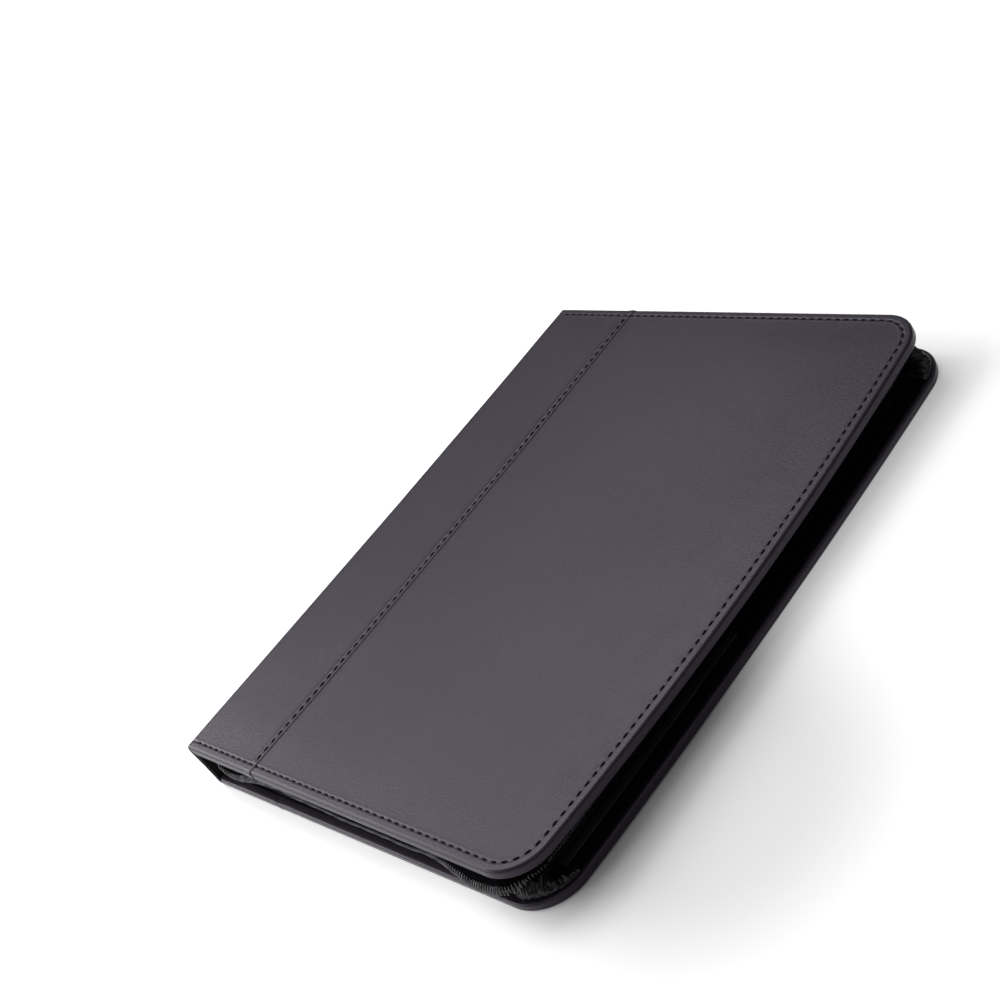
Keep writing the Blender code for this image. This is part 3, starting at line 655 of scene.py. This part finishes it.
def hemPleat(side, x, y, inset):
    # The turned-in skin gathers into folds round each corner
    width, corner = outline(side)
    dx, dy = x - (width - corner), abs(y) - (halfLength - corner)
    if dx <= 0 or dy <= 0:
        return 0.0
    share = math.atan2(dy, dx) / (math.pi / 2)
    folds = 2 * math.pi * (hemPleats["count"] * share + 0.2)
    rise = 0.5 + 0.5 * math.sin(folds + 0.7 * math.sin(folds))
    return hemPleats["height"] * rise * math.sin(math.pi * share) ** 0.4 * ease(inset, 0.0004, 0.0025)


def cornerPoint(side, profile, ring, kx, ky, end, field):
    # In the corner block each ring is an arc between two straights, and its points are spread evenly
    width, corner = outline(side)
    last = len(profile) - 1
    inset = profile[ring][0]
    if ring == last:
        return width - field, end * (halfLength - field)
    share = (max(kx, ky) - ring) / (last - ring)
    radius = max(corner - inset, 0.0)
    straight = field - inset - radius
    arc = radius * math.pi / 4
    travelled = share * (arc + straight)
    if travelled <= arc and radius > 0:
        turn = math.pi / 4 - travelled / radius
        far = inset + radius - radius * math.cos(turn)
        near = inset + radius - radius * math.sin(turn)
    else:
        far = inset
        near = inset + radius + travelled - arc
    onFore = kx <= ky
    dx, dy = (far, near) if onFore else (near, far)
    return width - dx, end * (halfLength - dy)


def spineGuide():
    # From the lap seam along the cover, round the spine corner and up to mid-height: (x, depth, inward)
    radius = cover["spineRound"]
    seam = cover["seam"]
    edge = [
        0.0, 0.00006, 0.00016, 0.0003, 0.0005, 0.0008, 0.0012, 0.0016, 0.0020,
        0.0024, 0.0028, 0.0032, 0.0036, 0.0040, 0.0044, 0.0049, 0.0056,
    ]
    spots = [seam - back for back in edge]
    while spots[-1] > radius + 0.0015:
        spots.append(spots[-1] - 0.0014)
    guide = [(max(x, radius), 0.0, (0, 1)) for x in spots]
    steps = 8
    for i in range(1, steps + 1):
        turn = math.pi / 2 * i / steps
        away = (math.sin(turn), math.cos(turn))
        guide.append((radius - radius * away[0], radius - radius * away[1], away))
    for i in range(1, steps + 1):
        guide.append((0.0, mix(radius, spineHeight / 2, i / steps), (1, 0)))
    return guide


def seamReach():
    # Half the length of the seam's stitch row
    return halfLength - cover["stitchInset"] - 0.002


def spineStripSkin(side):
    # The strip beside the spine and half of the spine itself are one skin, hemmed at head and tail
    seam = cover["seam"]
    field = cover["field"]
    reach = halfLength - field
    rowCount = round(2 * reach / 0.0013)
    ys = [mix(-reach, reach, j / rowCount) for j in range(1, rowCount)]
    seamStitches = round(2 * seamReach() / stitch["pitch"])
    seamPitch = 2 * seamReach() / seamStitches
    rows = []
    for guideX, guideDepth, inward in spineGuide():
        lapped = ease(guideX, seam - lap["ramp"] - 0.002, seam - lap["ramp"] + 0.002)
        thickness = mix(cover["thickness"], cover["spineThickness"], ease(0.0055 - guideX, 0, 0.0040))
        profile = rimProfile(thickness, cover["hem"], field)
        line = [(inset, depth, -1) for inset, depth in profile]
        line += [(halfLength - abs(y), 0.0, -1 if y < 0 else 1) for y in ys]
        line += [(inset, depth, 1) for inset, depth in reversed(profile)]
        row = []
        for inset, depth, end in line:
            y = end * (halfLength - inset)
            if depth < thickness / 2:
                depth += topRelief(side, guideX, y, inset) * ease(0.004 - guideDepth, 0, 0.004)
                phase = y / seamPitch + 0.5 * (seamStitches % 2)
                groove = stitchedGroove((guideX - seam + cover["seamStitch"]) / cover["seamSpread"], phase)
                depth += 1.4 * groove * ease(inset, 0.004, 0.006)
                turned = min(1, max(0, (guideX - seam + lap["round"]) / lap["round"]))
                depth += (lap["step"] + lap["lift"]) * (1 - math.sqrt(1 - turned * turned))
            depth -= lap["lift"] * lapped
            swell = lap["bump"] if side == "front" else lap["bump"] / 4
            y += end * swell * lapped * ease(0.004 - inset, 0, 0.004)
            x = guideX + inward[0] * depth
            row.append(placeNearSpine(side, x, y, guideDepth + inward[1] * depth))
        rows.append(row)
    name, towards = side + "_spine_skin", (-0.2, 0, 1 if side == "front" else -1)
    obj = sheetPiece(name, rows, towards, "cover", cover["skin"] * 0.7)
    rideSpineCorner(obj)
    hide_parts(side + "_spine_strip", "spine_skin")


def rideSpineCorner(obj):
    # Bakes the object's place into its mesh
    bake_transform(obj)


print("outer skins")
for coverSide in ("back", "front"):
    mainSkin(coverSide)
    spineStripSkin(coverSide)


# Stitches

def stitchTemplate():
    # One thread loop along X: a capsule whose ends dive into their needle holes
    bm = bmesh.new()
    bmesh.ops.create_cone(bm, cap_ends=True, segments=6, radius1=1, radius2=1, depth=2)
    bmesh.ops.rotate(bm, cent=(0, 0, 0), matrix=Matrix.Rotation(math.pi / 2, 3, "Y"), verts=bm.verts)
    sideEdges = [edge for edge in bm.edges if abs(edge.verts[0].co.x - edge.verts[1].co.x) > 1]
    bmesh.ops.subdivide_edges(bm, edges=sideEdges, cuts=5, use_grid_fill=True)
    for vert in bm.verts:
        end = abs(vert.co.x)
        slim = math.sqrt(max(0.12, 1 - end**4))
        vert.co.y *= stitch["radius"] * 1.15 * slim
        vert.co.z = vert.co.z * stitch["radius"] * slim - stitch["dive"] * end**4
        vert.co.x *= stitch["length"] / 2
    return meshOf("stitch", bm)


oneStitch = stitchTemplate()


def stitchRow(name, spots, scale=1.0):
    # spots: (middle, direction, outward) of each stitch
    bm = bmesh.new()
    count = len(oneStitch.vertices)
    for middle, direction, outward in spots:
        along = direction.normalized()
        up = (outward - along * outward.dot(along)).normalized()
        turned = Matrix((along, up.cross(along), up)).transposed().to_4x4()
        bm.from_mesh(oneStitch)
        bm.verts.ensure_lookup_table()
        turned = Matrix.Translation(middle) @ turned @ Matrix.Scale(scale, 4)
        bmesh.ops.transform(bm, matrix=turned, verts=bm.verts[-count:])
    return addPiece(name, bm, "thread")


def spotsAlong(line, placed, outward):
    # A stitch from each (x, y) to the next
    spots = []
    for a, b in zip(line, line[1:]):
        first, second = placed(*a), placed(*b)
        spots.append(((first + second) / 2, second - first, outward))
    return spots


def coverStitches(name, side, line, sink):
    outward = Vector((0, 0, -1 if side == "back" else 1))
    spots = spotsAlong(line, lambda x, y: place(side, x, y, sink), outward)
    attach(stitchRow(side + name, spots), side + "_cover")


def edgeLine(side, inset, start, pitch):
    # Evenly spaced places along the stitched edge from the spine round to the spine
    fine = []
    for zone in range(5):
        steps = 60
        fine += [edgeAt(side, zone + i / steps, inset, start) for i in range(steps)]
    fine.append(edgeAt(side, 5.0, inset, start))
    return evenly([Vector(p) for p in fine], pitch)


def evenly(points, pitch):
    lengths = [(b - a).length for a, b in zip(points, points[1:])]
    total = sum(lengths)
    count = max(1, round(total / pitch))
    out = [points[0]]
    target, passed = total / count, 0.0
    for a, b, length in zip(points, points[1:], lengths):
        while length > 0 and len(out) < count and passed + length >= target - 1e-12:
            out.append(a.lerp(b, (target - passed) / length))
            target += total / count
        passed += length
    out.append(points[-1])
    return out


print("stitching")
for coverSide in ("back", "front"):
    sink = cover["grooveDepth"] - stitch["radius"] * 0.55
    line = edgeLine(coverSide, cover["stitchInset"], stitch["start"], stitch["pitch"])
    coverStitches("_edge_stitches", coverSide, line, sink)
    seamX = cover["seam"] - cover["seamStitch"]
    line = evenly([Vector((seamX, -seamReach())), Vector((seamX, seamReach()))], stitch["pitch"])
    coverStitches("_seam_stitches", coverSide, line, sink - lap["lift"])


# Zip

def keyed(share, keys):
    # Smooth values between keys of (share, values...), level where they turn back
    last = len(keys) - 1
    at = next(i for i in range(1, last + 1) if share <= keys[i][0] or i == last)
    span = keys[at][0] - keys[at - 1][0]
    part = (share - keys[at - 1][0]) / span
    found = []
    for k in range(1, len(keys[0])):
        slopes = []
        for i in (at - 1, at):
            before = (keys[i][k] - keys[i - 1][k]) / (keys[i][0] - keys[i - 1][0]) if i > 0 else 0
            after = (keys[i + 1][k] - keys[i][k]) / (keys[i + 1][0] - keys[i][0]) if i < last else 0
            slopes.append(2 * before * after / (before + after) if before * after > 0 else 0)
        a, b = keys[at - 1][k], keys[at][k]
        rise = part * part * (3 - 2 * part)
        bend = part * (1 - part) * ((1 - part) * slopes[0] - part * slopes[1]) * span
        found.append(mix(a, b, rise) + bend)
    return found


# (share round the edge, coil inset, coil depth, belly): how the front tape hangs, out past the rim on
# the tail and its corner, tucked in on the rest
frontHang = [
    (0.0, 0.0018, 0.0096, 0.0020),
    (0.02, 0.0014, 0.0132, 0.0025),
    (0.055, 0.0014, 0.0142, 0.0025),
    (0.11, 0.0018, 0.0118, 0.0022),
    (0.18, 0.0024, 0.0096, 0.0020),
    (0.30, 0.0028, 0.0102, 0.0028),
    (0.42, 0.0028, 0.0134, 0.0036),
    (0.73, 0.0028, 0.0136, 0.0036),
    (0.82, 0.0022, 0.0126, 0.0026),
    (0.87, 0.0006, 0.0130, 0.0026),
    (0.93, -0.0008, 0.0145, 0.0026),
    (0.98, -0.0006, 0.0136, 0.0026),
    (1.07, -0.0004, 0.0121, 0.0026),
    (1.22, 0.0001, 0.0116, 0.0026),
    (1.33, 0.0010, 0.0109, 0.0022),
    (1.50, 0.0046, 0.0114, 0.0008),
    (1.80, 0.0085, 0.0136, 0.0),
    (2.00, 0.0102, 0.0142, 0.0),
    (2.10, 0.0105, 0.0133, 0.0),
    (2.20, 0.0105, 0.0124, 0.0),
    (2.50, 0.0105, 0.0112, 0.0),
    (2.80, 0.0105, 0.0124, 0.0),
    (2.90, 0.0105, 0.0133, 0.0),
    (3.00, 0.0104, 0.0140, 0.0),
    (3.45, 0.0104, 0.0096, 0.0),
    (4.90, 0.0105, 0.0094, 0.0),
    (5.0, 0.0060, 0.0080, 0.0),
]


def tapeLine(side, share, parts):
    # Points (inset, depth) down the tape from its seam to its free edge
    root = Vector((zipTape["rootInset"], zipTape["rootDepth"]))
    if side == "back":
        fore = ease(share, 0.92, 1.2) * ease(-share, -3.88, -3.42)
        root.x = mix(root.x, zipTape["foreInset"], fore)
        length = mix(zipTape["length"], zipTape["foreLength"], fore)
        lean = zipTape["foreLean"] * fore * (1 - zipTape["standsUp"] * bump(share, 1.25, 0.35))
        tip = root + length * Vector((math.sin(lean), math.cos(lean)))
        knee = Vector((root.x, mix(root.y, tip.y, 0.7)))
    else:
        inset, depth, belly = keyed(share, frontHang)
        tip = Vector((inset, depth))
        knee = Vector((root.x - belly, mix(root.y, tip.y, 0.35) + 0.0006))
    points = []
    for i in range(parts + 1):
        t = i / parts
        points.append(root * (1 - t) ** 2 + knee * 2 * t * (1 - t) + tip * t * t)
    return points


def tapeWave(side, share, t):
    # Uneven gathers in the corners, slanting across the tape, and a slow ripple elsewhere
    zone = min(4, int(share))
    part = share - zone
    if zone in (1, 3):
        window = min(1, 6 * part, 6 * (1 - part))
        wander = 0.9 * noise.noise(Vector((share * 13, 4.1, t)))
        fold = abs(math.sin(math.pi * (zipTape["pleatsPerCorner"] * part + 0.5 * t + wander))) ** 1.3
        height = 0.8 + 0.8 * noise.noise(Vector((share * 19, 6.7, 2 * t)))
        return -zipTape["pleatHeight"] * window * height * fold * math.sin(math.pi * t) ** 0.6
    ripple = noise.noise(Vector((share * 11, 2.3 if side == "back" else 8.1, 0)))
    onTrack = side == "back" and zone == 4      # the slider's run stays straight
    return 0.0 if onTrack else 0.0006 * ripple * t


def zipHalf(side):
    parts = 14
    rows = []
    coilLine = []
    outwardLine = []
    shares = edgeShares(side)
    for share in shares:
        line = tapeLine(side, share, parts)
        row = []
        hem = edgeAt(side, share, cover["hem"] - 0.0004)
        row.append(place(side, *hem, zipTape["rootDepth"] + 0.0001))
        for i, point in enumerate(line):
            t = i / parts
            before, after = line[max(0, i - 1)], line[min(parts, i + 1)]
            tangent = (after - before).normalized()
            shift = tapeWave(side, share, t)
            inset = point.x + tangent.y * shift
            depth = point.y - tangent.x * shift
            row.append(place(side, *edgeAt(side, share, inset), depth))
        rows.append(row)
        tip = row[-1]
        outward = (row[-1] - row[-3]).normalized()
        coilLine.append(tip + outward * zipTape["coilOut"][side])
        outwardLine.append(outward)
    # The gathered corners of the back tape are lined in satin, the rest is plain tape
    ends = [0, 1, 2, 3, 4, 5] if side == "back" else [0, 5]
    for low, high in zip(ends, ends[1:]):
        run = [row for share, row in zip(shares, rows) if low - 1e-9 <= share <= high + 1e-9]
        gathered = side == "back" and low in (1, 3)
        name = side + "_zip_tape_cloth" + ("_" + str(low) if len(ends) > 2 else "")
        finish = "gathers" if gathered else "tape"
        tape = sheetPiece(name, run, None, finish, zipTape["thickness"], 0)
        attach(tape, side + "_cover")
        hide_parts(side + "_zip_tape")
    coil = coilPiece(side, coilLine, outwardLine)
    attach(coil, side + "_cover")
    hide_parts(side + "_zip_coil")


def coilPiece(side, line, outwards):
    # One wire wound round the tape's free edge, a turn for each tooth
    lengths = runLengths(line)
    turns = round(lengths[-1] / zipTape["coilPitch"])
    perTurn = 8
    points = []
    index = 0
    for i in range(turns * perTurn + 1):
        target = lengths[-1] * i / (turns * perTurn)
        while index < len(lengths) - 2 and lengths[index + 1] < target:
            index += 1
        part = (target - lengths[index]) / max(1e-9, lengths[index + 1] - lengths[index])
        middle = line[index].lerp(line[index + 1], part)
        outward = outwards[index].lerp(outwards[index + 1], part).normalized()
        along = (line[index + 1] - line[index]).normalized()
        flat = outward.cross(along).normalized()
        turn = 2 * math.pi * i / perTurn
        points.append(
            middle
            + outward * zipTape["coilReach"][side] * math.cos(turn)
            + flat * zipTape["coilHalfThick"] * math.sin(turn)
        )
    # The back coil takes the darkened copy of the nylon: painted shade
    finish = "coil" if side == "front" else "shadeDarkCoil"
    return tubePiece(side + "_coil_turns", points, zipTape["wire"], finish)


print("zip")
for coverSide in ("back", "front"):
    zipHalf(coverSide)


gusset = {
    "inset": 0.0052,        # from the cover's end
    "near": 0.0028,         # from the spine's outer face
    "reach": 0.0205,        # along the cover
    "waist": 0.0072,        # and half-way up the spine
    "folds": 5,
    "foldHeight": 0.0011,
    "thickness": 0.0004,
}


def spineGusset(side, end):
    # Lining cloth that closes the gap between the covers beside the spine, gathered in upright folds
    wide, tall = 60, 16
    bottom = cover["thickness"] + 0.0001
    rows = []
    for j in range(tall + 1):
        up = j / tall
        depth = mix(bottom, spineHeight / 2, up)
        far = mix(gusset["reach"], gusset["waist"], up ** 0.6)
        row = []
        for i in range(wide + 1):
            across = i / wide
            x = mix(gusset["near"], far, across)
            fold = math.sin(2 * math.pi * gusset["folds"] * across + 1.2 * math.sin(3.1 * up + end))
            sag = 0.0016 * math.sin(math.pi * up) * across
            inset = gusset["inset"] + sag + gusset["foldHeight"] * fold * ease(across, 0, 0.15)
            row.append(placeNearSpine(side, x, end * (halfLength - inset), depth))
        rows.append(row)
    name = side + ("_tail" if end < 0 else "_head") + "_gusset"
    obj = sheetPiece(name, rows, (0, end, 0), "gathers", gusset["thickness"])
    rideSpineCorner(obj)


# (x, depth) from the cover's lining out to the hinge corner and on to the spine's lining
hingeFold = [
    (0.0060, 0.00405), (0.0036, 0.00405), (0.0014, 0.00405), (0.0010, 0.0044), (0.0010, 0.0052),
    (0.0011, 0.0060), (0.0020, 0.0066), (0.0032, 0.0068), (0.0034, 0.0074), (0.0034, 0.0084),
]


def hingeLining(side):
    # A strip of lining cloth closes each hinge on the inside
    onCover, onSpine = 0.0043, 0.0066
    reach = halfLength - cover["stitchInset"]
    tall = 80
    rows = []
    for j in range(tall + 1):
        y = mix(-reach, reach, j / tall)
        row = []
        for x, depth in hingeFold:
            height = depth if side == "back" else spineHeight - depth
            atSpine = Vector((spineFace + x, y, height))
            row.append(place(side, x, y, depth).lerp(atSpine, ease(depth, onCover, onSpine)))
        rows.append(row)
    obj = sheetPiece(side + "_hinge_lining", rows, (1, 0, 0), "lining", 0.00016, 0)
    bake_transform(obj)


for coverSide in ("back", "front"):
    hingeLining(coverSide)
    for end in (-1, 1):
        spineGusset(coverSide, end)


# Linings, boards and pockets

def settledCopy(name, node, finish, bevel=0.0):
    # A copy of a front cover node, cut across its length and let down as the cover sags
    bm = bmesh.new()
    bm.from_mesh(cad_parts[node].data)
    bmesh.ops.remove_doubles(bm, verts=bm.verts, dist=1e-6)
    bmesh.ops.dissolve_limit(bm, angle_limit=math.radians(1), verts=bm.verts[:], edges=bm.edges[:])
    low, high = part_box(node)
    if bevel:
        sharp = [e for e in bm.edges if len(e.link_faces) == 2 and e.calc_face_angle(0) > math.radians(40)]
        bmesh.ops.bevel(
            bm, geom=sharp, offset=bevel, offset_type="OFFSET", segments=2, profile=0.5, affect="EDGES",
            material=-1, clamp_overlap=True,
        )
    cuts = 0.02
    y = low.y + cuts
    while y < high.y - 0.001:
        cutAcross(bm, y)
        y += cuts
    for vert in bm.verts:
        x = vert.co.x - spineFace
        vert.co.z -= sagAt(x, vert.co.y)
        vert.co.x -= cover["leanOut"] + narrowing * ease(x, 0.1, coverWidth)
    mapFlat(bm, lambda vert: vert.co.xy)
    obj = addPiece(name, bm, finish, sharp=30)
    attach(obj, "front_cover")
    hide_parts(node)


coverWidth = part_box("back_main_panel")[1].x - spineFace - cover["bow"]
narrowing = coverWidth - sides["front"]["width"]

print("front cover's inside")
for name, node, finish, slot, bevel in (
    ("front_foam_sheet", "front_foam", "foam", "padding_foam", 0),
    ("front_board_sheet", "front_board", "board", "grey_board", 0),
    ("front_lining_cloth", "front_lining", "lining", "lining_fabric", 0),
    ("document_pocket_panel", "document_pocket", "pocket", "pocket_leather", 0.00015),
    ("card_pocket_upper_panel", "card_pocket_upper", "pocket", "pocket_leather", 0.00012),
    ("card_pocket_middle_panel", "card_pocket_middle", "pocket", "pocket_leather", 0.00012),
    ("card_pocket_lower_panel", "card_pocket_lower", "pocket", "pocket_leather", 0.00012),
    ("id_window_film", "id_window", "film", "clear_film", 0),
):
    settledCopy(name, node, finish, bevel)


pocketWork = {
    "pitch": 0.0034,
    "scale": 0.62,          # of the cover's stitches
    "edge": 0.0022,         # stitches to the pocket's edge
    "hem": 0.0040,          # and to its open edge
    "frame": 0.0060,        # width of the window's frame
    "frameThick": 0.0007,
    "cardStep": 0.0135,     # a card pocket shows this much above the next
}


def onLining(side, x, y, depth):
    # A place inside a cover, let down as the front cover's copies are
    if side == "back":
        return Vector((spineFace + x, y, depth))
    turn = cover["droop"]
    across = x * math.cos(turn) - depth * math.sin(turn)
    height = spineHeight - x * math.sin(turn) - depth * math.cos(turn) - sagAt(across, y)
    shift = cover["leanOut"] + narrowing * ease(across, 0.1, coverWidth)
    return Vector((spineFace + across - shift, y, height))


def flatBox(side, node):
    # The node's edges and inner face in its cover's own measure: (x low, x high, y low, y high, depth)
    low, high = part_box(node)
    if side == "back":
        return low.x - spineFace, high.x - spineFace, low.y, high.y, high.z
    turn = cover["droop"]
    down = spineHeight - low.z
    depth = down * math.cos(turn) - (high.x - spineFace) * math.sin(turn)
    slide = depth * math.sin(turn)
    return low.x - spineFace + slide, high.x - spineFace + slide, low.y, high.y, depth


def sewnLine(name, side, corners, depth):
    # Small stitches along a line of (x, y) corners on an inner face
    spots = []
    outward = Vector((0, 0, 1 if side == "back" else -1))
    for a, b in zip(corners, corners[1:]):
        line = evenly([Vector(a), Vector(b)], pocketWork["pitch"])
        spots += spotsAlong(line, lambda x, y: onLining(side, x, y, depth), outward)
    row = stitchRow(name, spots, pocketWork["scale"])
    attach(row, side + "_cover")


def windowFrame():
    # A leather frame holds the window's film down
    x1, x2, y1, y2, depth = flatBox("front", "id_window")
    wide, thick = pocketWork["frame"], pocketWork["frameThick"]
    bm = bmesh.new()
    bmesh.ops.create_grid(bm, x_segments=1, y_segments=1, size=0.5)
    for vert in bm.verts:
        vert.co = (mix(x1, x2, vert.co.x + 0.5), mix(y1, y2, vert.co.y + 0.5), 0)
    inner = bmesh.ops.inset_region(
        bm, faces=bm.faces[:], thickness=wide, use_even_offset=True, use_boundary=True,
    )
    opening = [face for face in bm.faces if face not in inner["faces"]]
    bmesh.ops.delete(bm, geom=opening, context="FACES")
    bmesh.ops.solidify(bm, geom=bm.faces[:], thickness=-thick)
    bmesh.ops.recalc_face_normals(bm, faces=bm.faces[:])
    for step in range(1, 8):
        cutAcross(bm, mix(y1, y2, step / 8))
    for vert in bm.verts:
        vert.co = onLining("front", vert.co.x, vert.co.y, depth + 0.0001 + abs(vert.co.z))
    bmesh.ops.recalc_face_normals(bm, faces=bm.faces[:])
    frameEdge = addPiece("id_window_frame", bm, "pocket", sharp=30)
    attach(frameEdge, "front_cover")
    edge = wide / 2
    left, right, low, high = x1 + edge, x2 - edge, y1 + edge, y2 - edge
    corners = [(left, low), (right, low), (right, high), (left, high), (left, low)]
    sewnLine("id_window_stitches", "front", corners, depth + 0.0001 + thick)


print("pocket stitching")
windowFrame()
edge, hem = pocketWork["edge"], pocketWork["hem"]
for level in ("upper", "middle", "lower"):
    x1, x2, y1, y2, depth = flatBox("front", "card_pocket_" + level)
    left, right = x1 + edge, x2 - edge
    bottom = y1 + edge if level == "lower" else y2 - pocketWork["cardStep"]
    sewnLine("card_hem_" + level, "front", [(left, y2 - hem), (right, y2 - hem)], depth)
    sewnLine("card_side_" + level, "front", [(left, y2 - edge), (left, bottom)], depth)
    sewnLine("card_end_" + level, "front", [(right, y2 - edge), (right, bottom)], depth)
    if level == "lower":
        sewnLine("card_bottom", "front", [(left, bottom), (right, bottom)], depth)
for coverSide, node in (("front", "document_pocket"), ("back", "pad_slot_panel")):
    x1, x2, y1, y2, depth = flatBox(coverSide, node)
    sewnLine(node + "_hem", coverSide, [(x1 + edge, y2 - hem), (x2 - edge, y2 - hem)], depth)


def dress(node, finish, bevel):
    # A CAD node that stays gets its finish, and softened edges where it is moulded or cast
    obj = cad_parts[node]
    obj.data.materials.clear()
    obj.data.materials.append(finishes[finish])
    if bevel:
        obj.modifiers.new("weld", "WELD").merge_threshold = 1e-6
        soft = obj.modifiers.new("soft edges", "BEVEL")
        soft.width = bevel
        soft.segments = 2
        soft.limit_method = "ANGLE"
        soft.angle_limit = math.radians(40)


print("kept nodes")
for node, finish, softness in (
    ("back_foam", "foam", 0), ("back_board", "board", 0), ("spine_board", "board", 0),
    ("back_lining", "lining", 0), ("spine_lining", "lining", 0), ("pad_slot_panel", "pocket", 0.00015),
    ("pen_loop", "elastic", 0), ("pad_backer", "padBoard", 0), ("pad_sheets", "paper", 0),
    ("pad_binding", "binding", 0.0001), ("zip_slider", "metal", 0.00025), ("pull_tab", "metal", 0.0002),
    ("zip_stop_head", "metal", 0.0001), ("zip_stop_tail", "metal", 0.0001),
):
    dress(node, finish, softness)


# Studio

camera = {
    "lens": 59.44,
    "place": (0.5964, -0.3260, 0.4535),
    "right": (0.63958, 0.58103, -0.50334),
    "up": (-0.08616, 0.70482, 0.70413),
}


def makeCamera():
    data = bpy.data.cameras.new("camera")
    data.lens = camera["lens"]
    data.sensor_width = 36
    data.clip_start = 0.01
    data.clip_end = 50
    obj = addObject("camera", data)
    right, up = Vector(camera["right"]).normalized(), Vector(camera["up"])
    up = (up - right * up.dot(right)).normalized()
    turned = Matrix((right, up, right.cross(up))).transposed().to_4x4()
    obj.matrix_world = Matrix.Translation(camera["place"]) @ turned
    bpy.context.scene.camera = obj


studio = {
    "floor": 0.90,
    # Painted shade: in this patch the floor gets none of its own glow, so it is greyer there even where no
    # shadow falls, and the shadow shows in full
    "paintedShadePatch": {"middle": (0.158, -0.096, 0), "near": 0.04, "far": 0.12},     # where the shadow shows in full
    # Painted light: the floor's own glow round the object outside that patch pales the object's shadow there
    "paintedGlowNear": 0.34,      # the floor's own glow outside that
    "clearFrom": 0.3,       # past this distance the floor brightens to plain white
    "clearBy": 1.2,
    "key": {"size": 2.0, "level": 0.42, "bearing": 194, "height": 30, "distance": 3.0},
    "softbox": {"size": 1.27, "level": 0.39, "bearing": 156, "height": 54, "distance": 2.17},
    "tailLight": {"size": 1.4, "level": 0.13, "bearing": 232, "height": 20, "distance": 2.4},
    "fill": 0.18,
    "ceilingFrom": 0.72,    # glossy surfaces see plain white from this height up, in sines
    "ceilingBy": 0.95,
}


def areaLight(name):
    # level: how bright this lamp alone makes a white card that lies on the cover, 1 being white
    lamp = studio[name]
    bearing, height = math.radians(lamp["bearing"]), math.radians(lamp["height"])
    flat = math.cos(height)
    towards = Vector((flat * math.cos(bearing), flat * math.sin(bearing), math.sin(height)))
    data = bpy.data.lights.new(name, "AREA")
    data.shape = "SQUARE"
    data.size = lamp["size"]
    data.energy = lamp["level"] * math.pi * math.pi * lamp["distance"] ** 2 / math.sin(height)
    obj = addObject(name, data)
    obj.location = towards * lamp["distance"]
    obj.rotation_euler = (-towards).to_track_quat("-Z", "Y").to_euler()


def makeFloor():
    bm = bmesh.new()
    bmesh.ops.create_circle(bm, cap_ends=True, segments=96, radius=6.0)
    made, tree, shader = newMaterial("studio floor")
    calc = mathOn(tree)
    pale = studio["floor"]
    tone = mixColour(tree, noiseOf(tree, Scale=3.0), (pale,) * 3, (pale + 0.02,) * 3)
    paintedShadePatch = studio["paintedShadePatch"]
    steps = (
        ((0, 0, 0), studio["clearFrom"], studio["clearBy"], 1 - studio["paintedGlowNear"]),
        (paintedShadePatch["middle"], paintedShadePatch["near"], paintedShadePatch["far"], studio["paintedGlowNear"]),
    )
    # The floor glows by place: none in the patch (painted shade), some round it (painted light that pales
    # the shadow), and plain white far off
    glow = 0.0
    for middle, near, far, gain in steps:
        away = tree.nodes.new("ShaderNodeVectorMath")
        away.operation = "DISTANCE"
        setSocket(tree, away.inputs[0], coordinates(tree))
        away.inputs[1].default_value = middle
        glow = calc("MULTIPLY_ADD", smoothRamp(tree, away.outputs["Value"], near, far), gain, glow)
    # The glow is there for what the camera sees straight, in a mirror or through glass
    rays = tree.nodes.new("ShaderNodeLightPath").outputs
    seen = calc("MAXIMUM", rays["Is Camera Ray"], rays["Is Glossy Ray"])
    seen = calc("MAXIMUM", seen, rays["Is Transmission Ray"])
    lift = calc("MULTIPLY", seen, glow)
    feed(tree, shader, Base_Color=tone, Roughness=0.95, Specular_IOR_Level=0.0)
    feed(tree, shader, Emission_Color=(1, 1, 1), Emission_Strength=lift)
    mesh = meshOf("floor", bm)
    mesh.materials.append(made)
    addObject("floor", mesh)


def makeWorld():
    # Straight and through glass it is white; in a gloss it is white overhead and dim round the sides
    world = bpy.data.worlds.new("studio")
    world.use_nodes = True
    tree = world.node_tree
    calc = mathOn(tree)
    rays = tree.nodes.new("ShaderNodeLightPath").outputs
    height = addNode(tree, "ShaderNodeSeparateXYZ", Vector=coordinates(tree, "Generated"))["Z"]
    overhead = smoothRamp(tree, height, studio["ceilingFrom"], studio["ceilingBy"])
    glossy = calc("MULTIPLY", rays["Is Glossy Ray"], overhead)
    seen = calc("MAXIMUM", rays["Is Camera Ray"], rays["Is Transmission Ray"])
    seen = calc("MAXIMUM", seen, glossy)
    strength = calc("MULTIPLY_ADD", seen, 1 - studio["fill"], studio["fill"])
    feed(tree, tree.nodes["Background"], Color=(1, 1, 1), Strength=strength)
    bpy.context.scene.world = world


print("studio")
makeCamera()
makeFloor()
makeWorld()
for lampName in ("key", "softbox", "tailLight"):
    areaLight(lampName)
bpy.context.scene.view_settings.view_transform = "Standard"
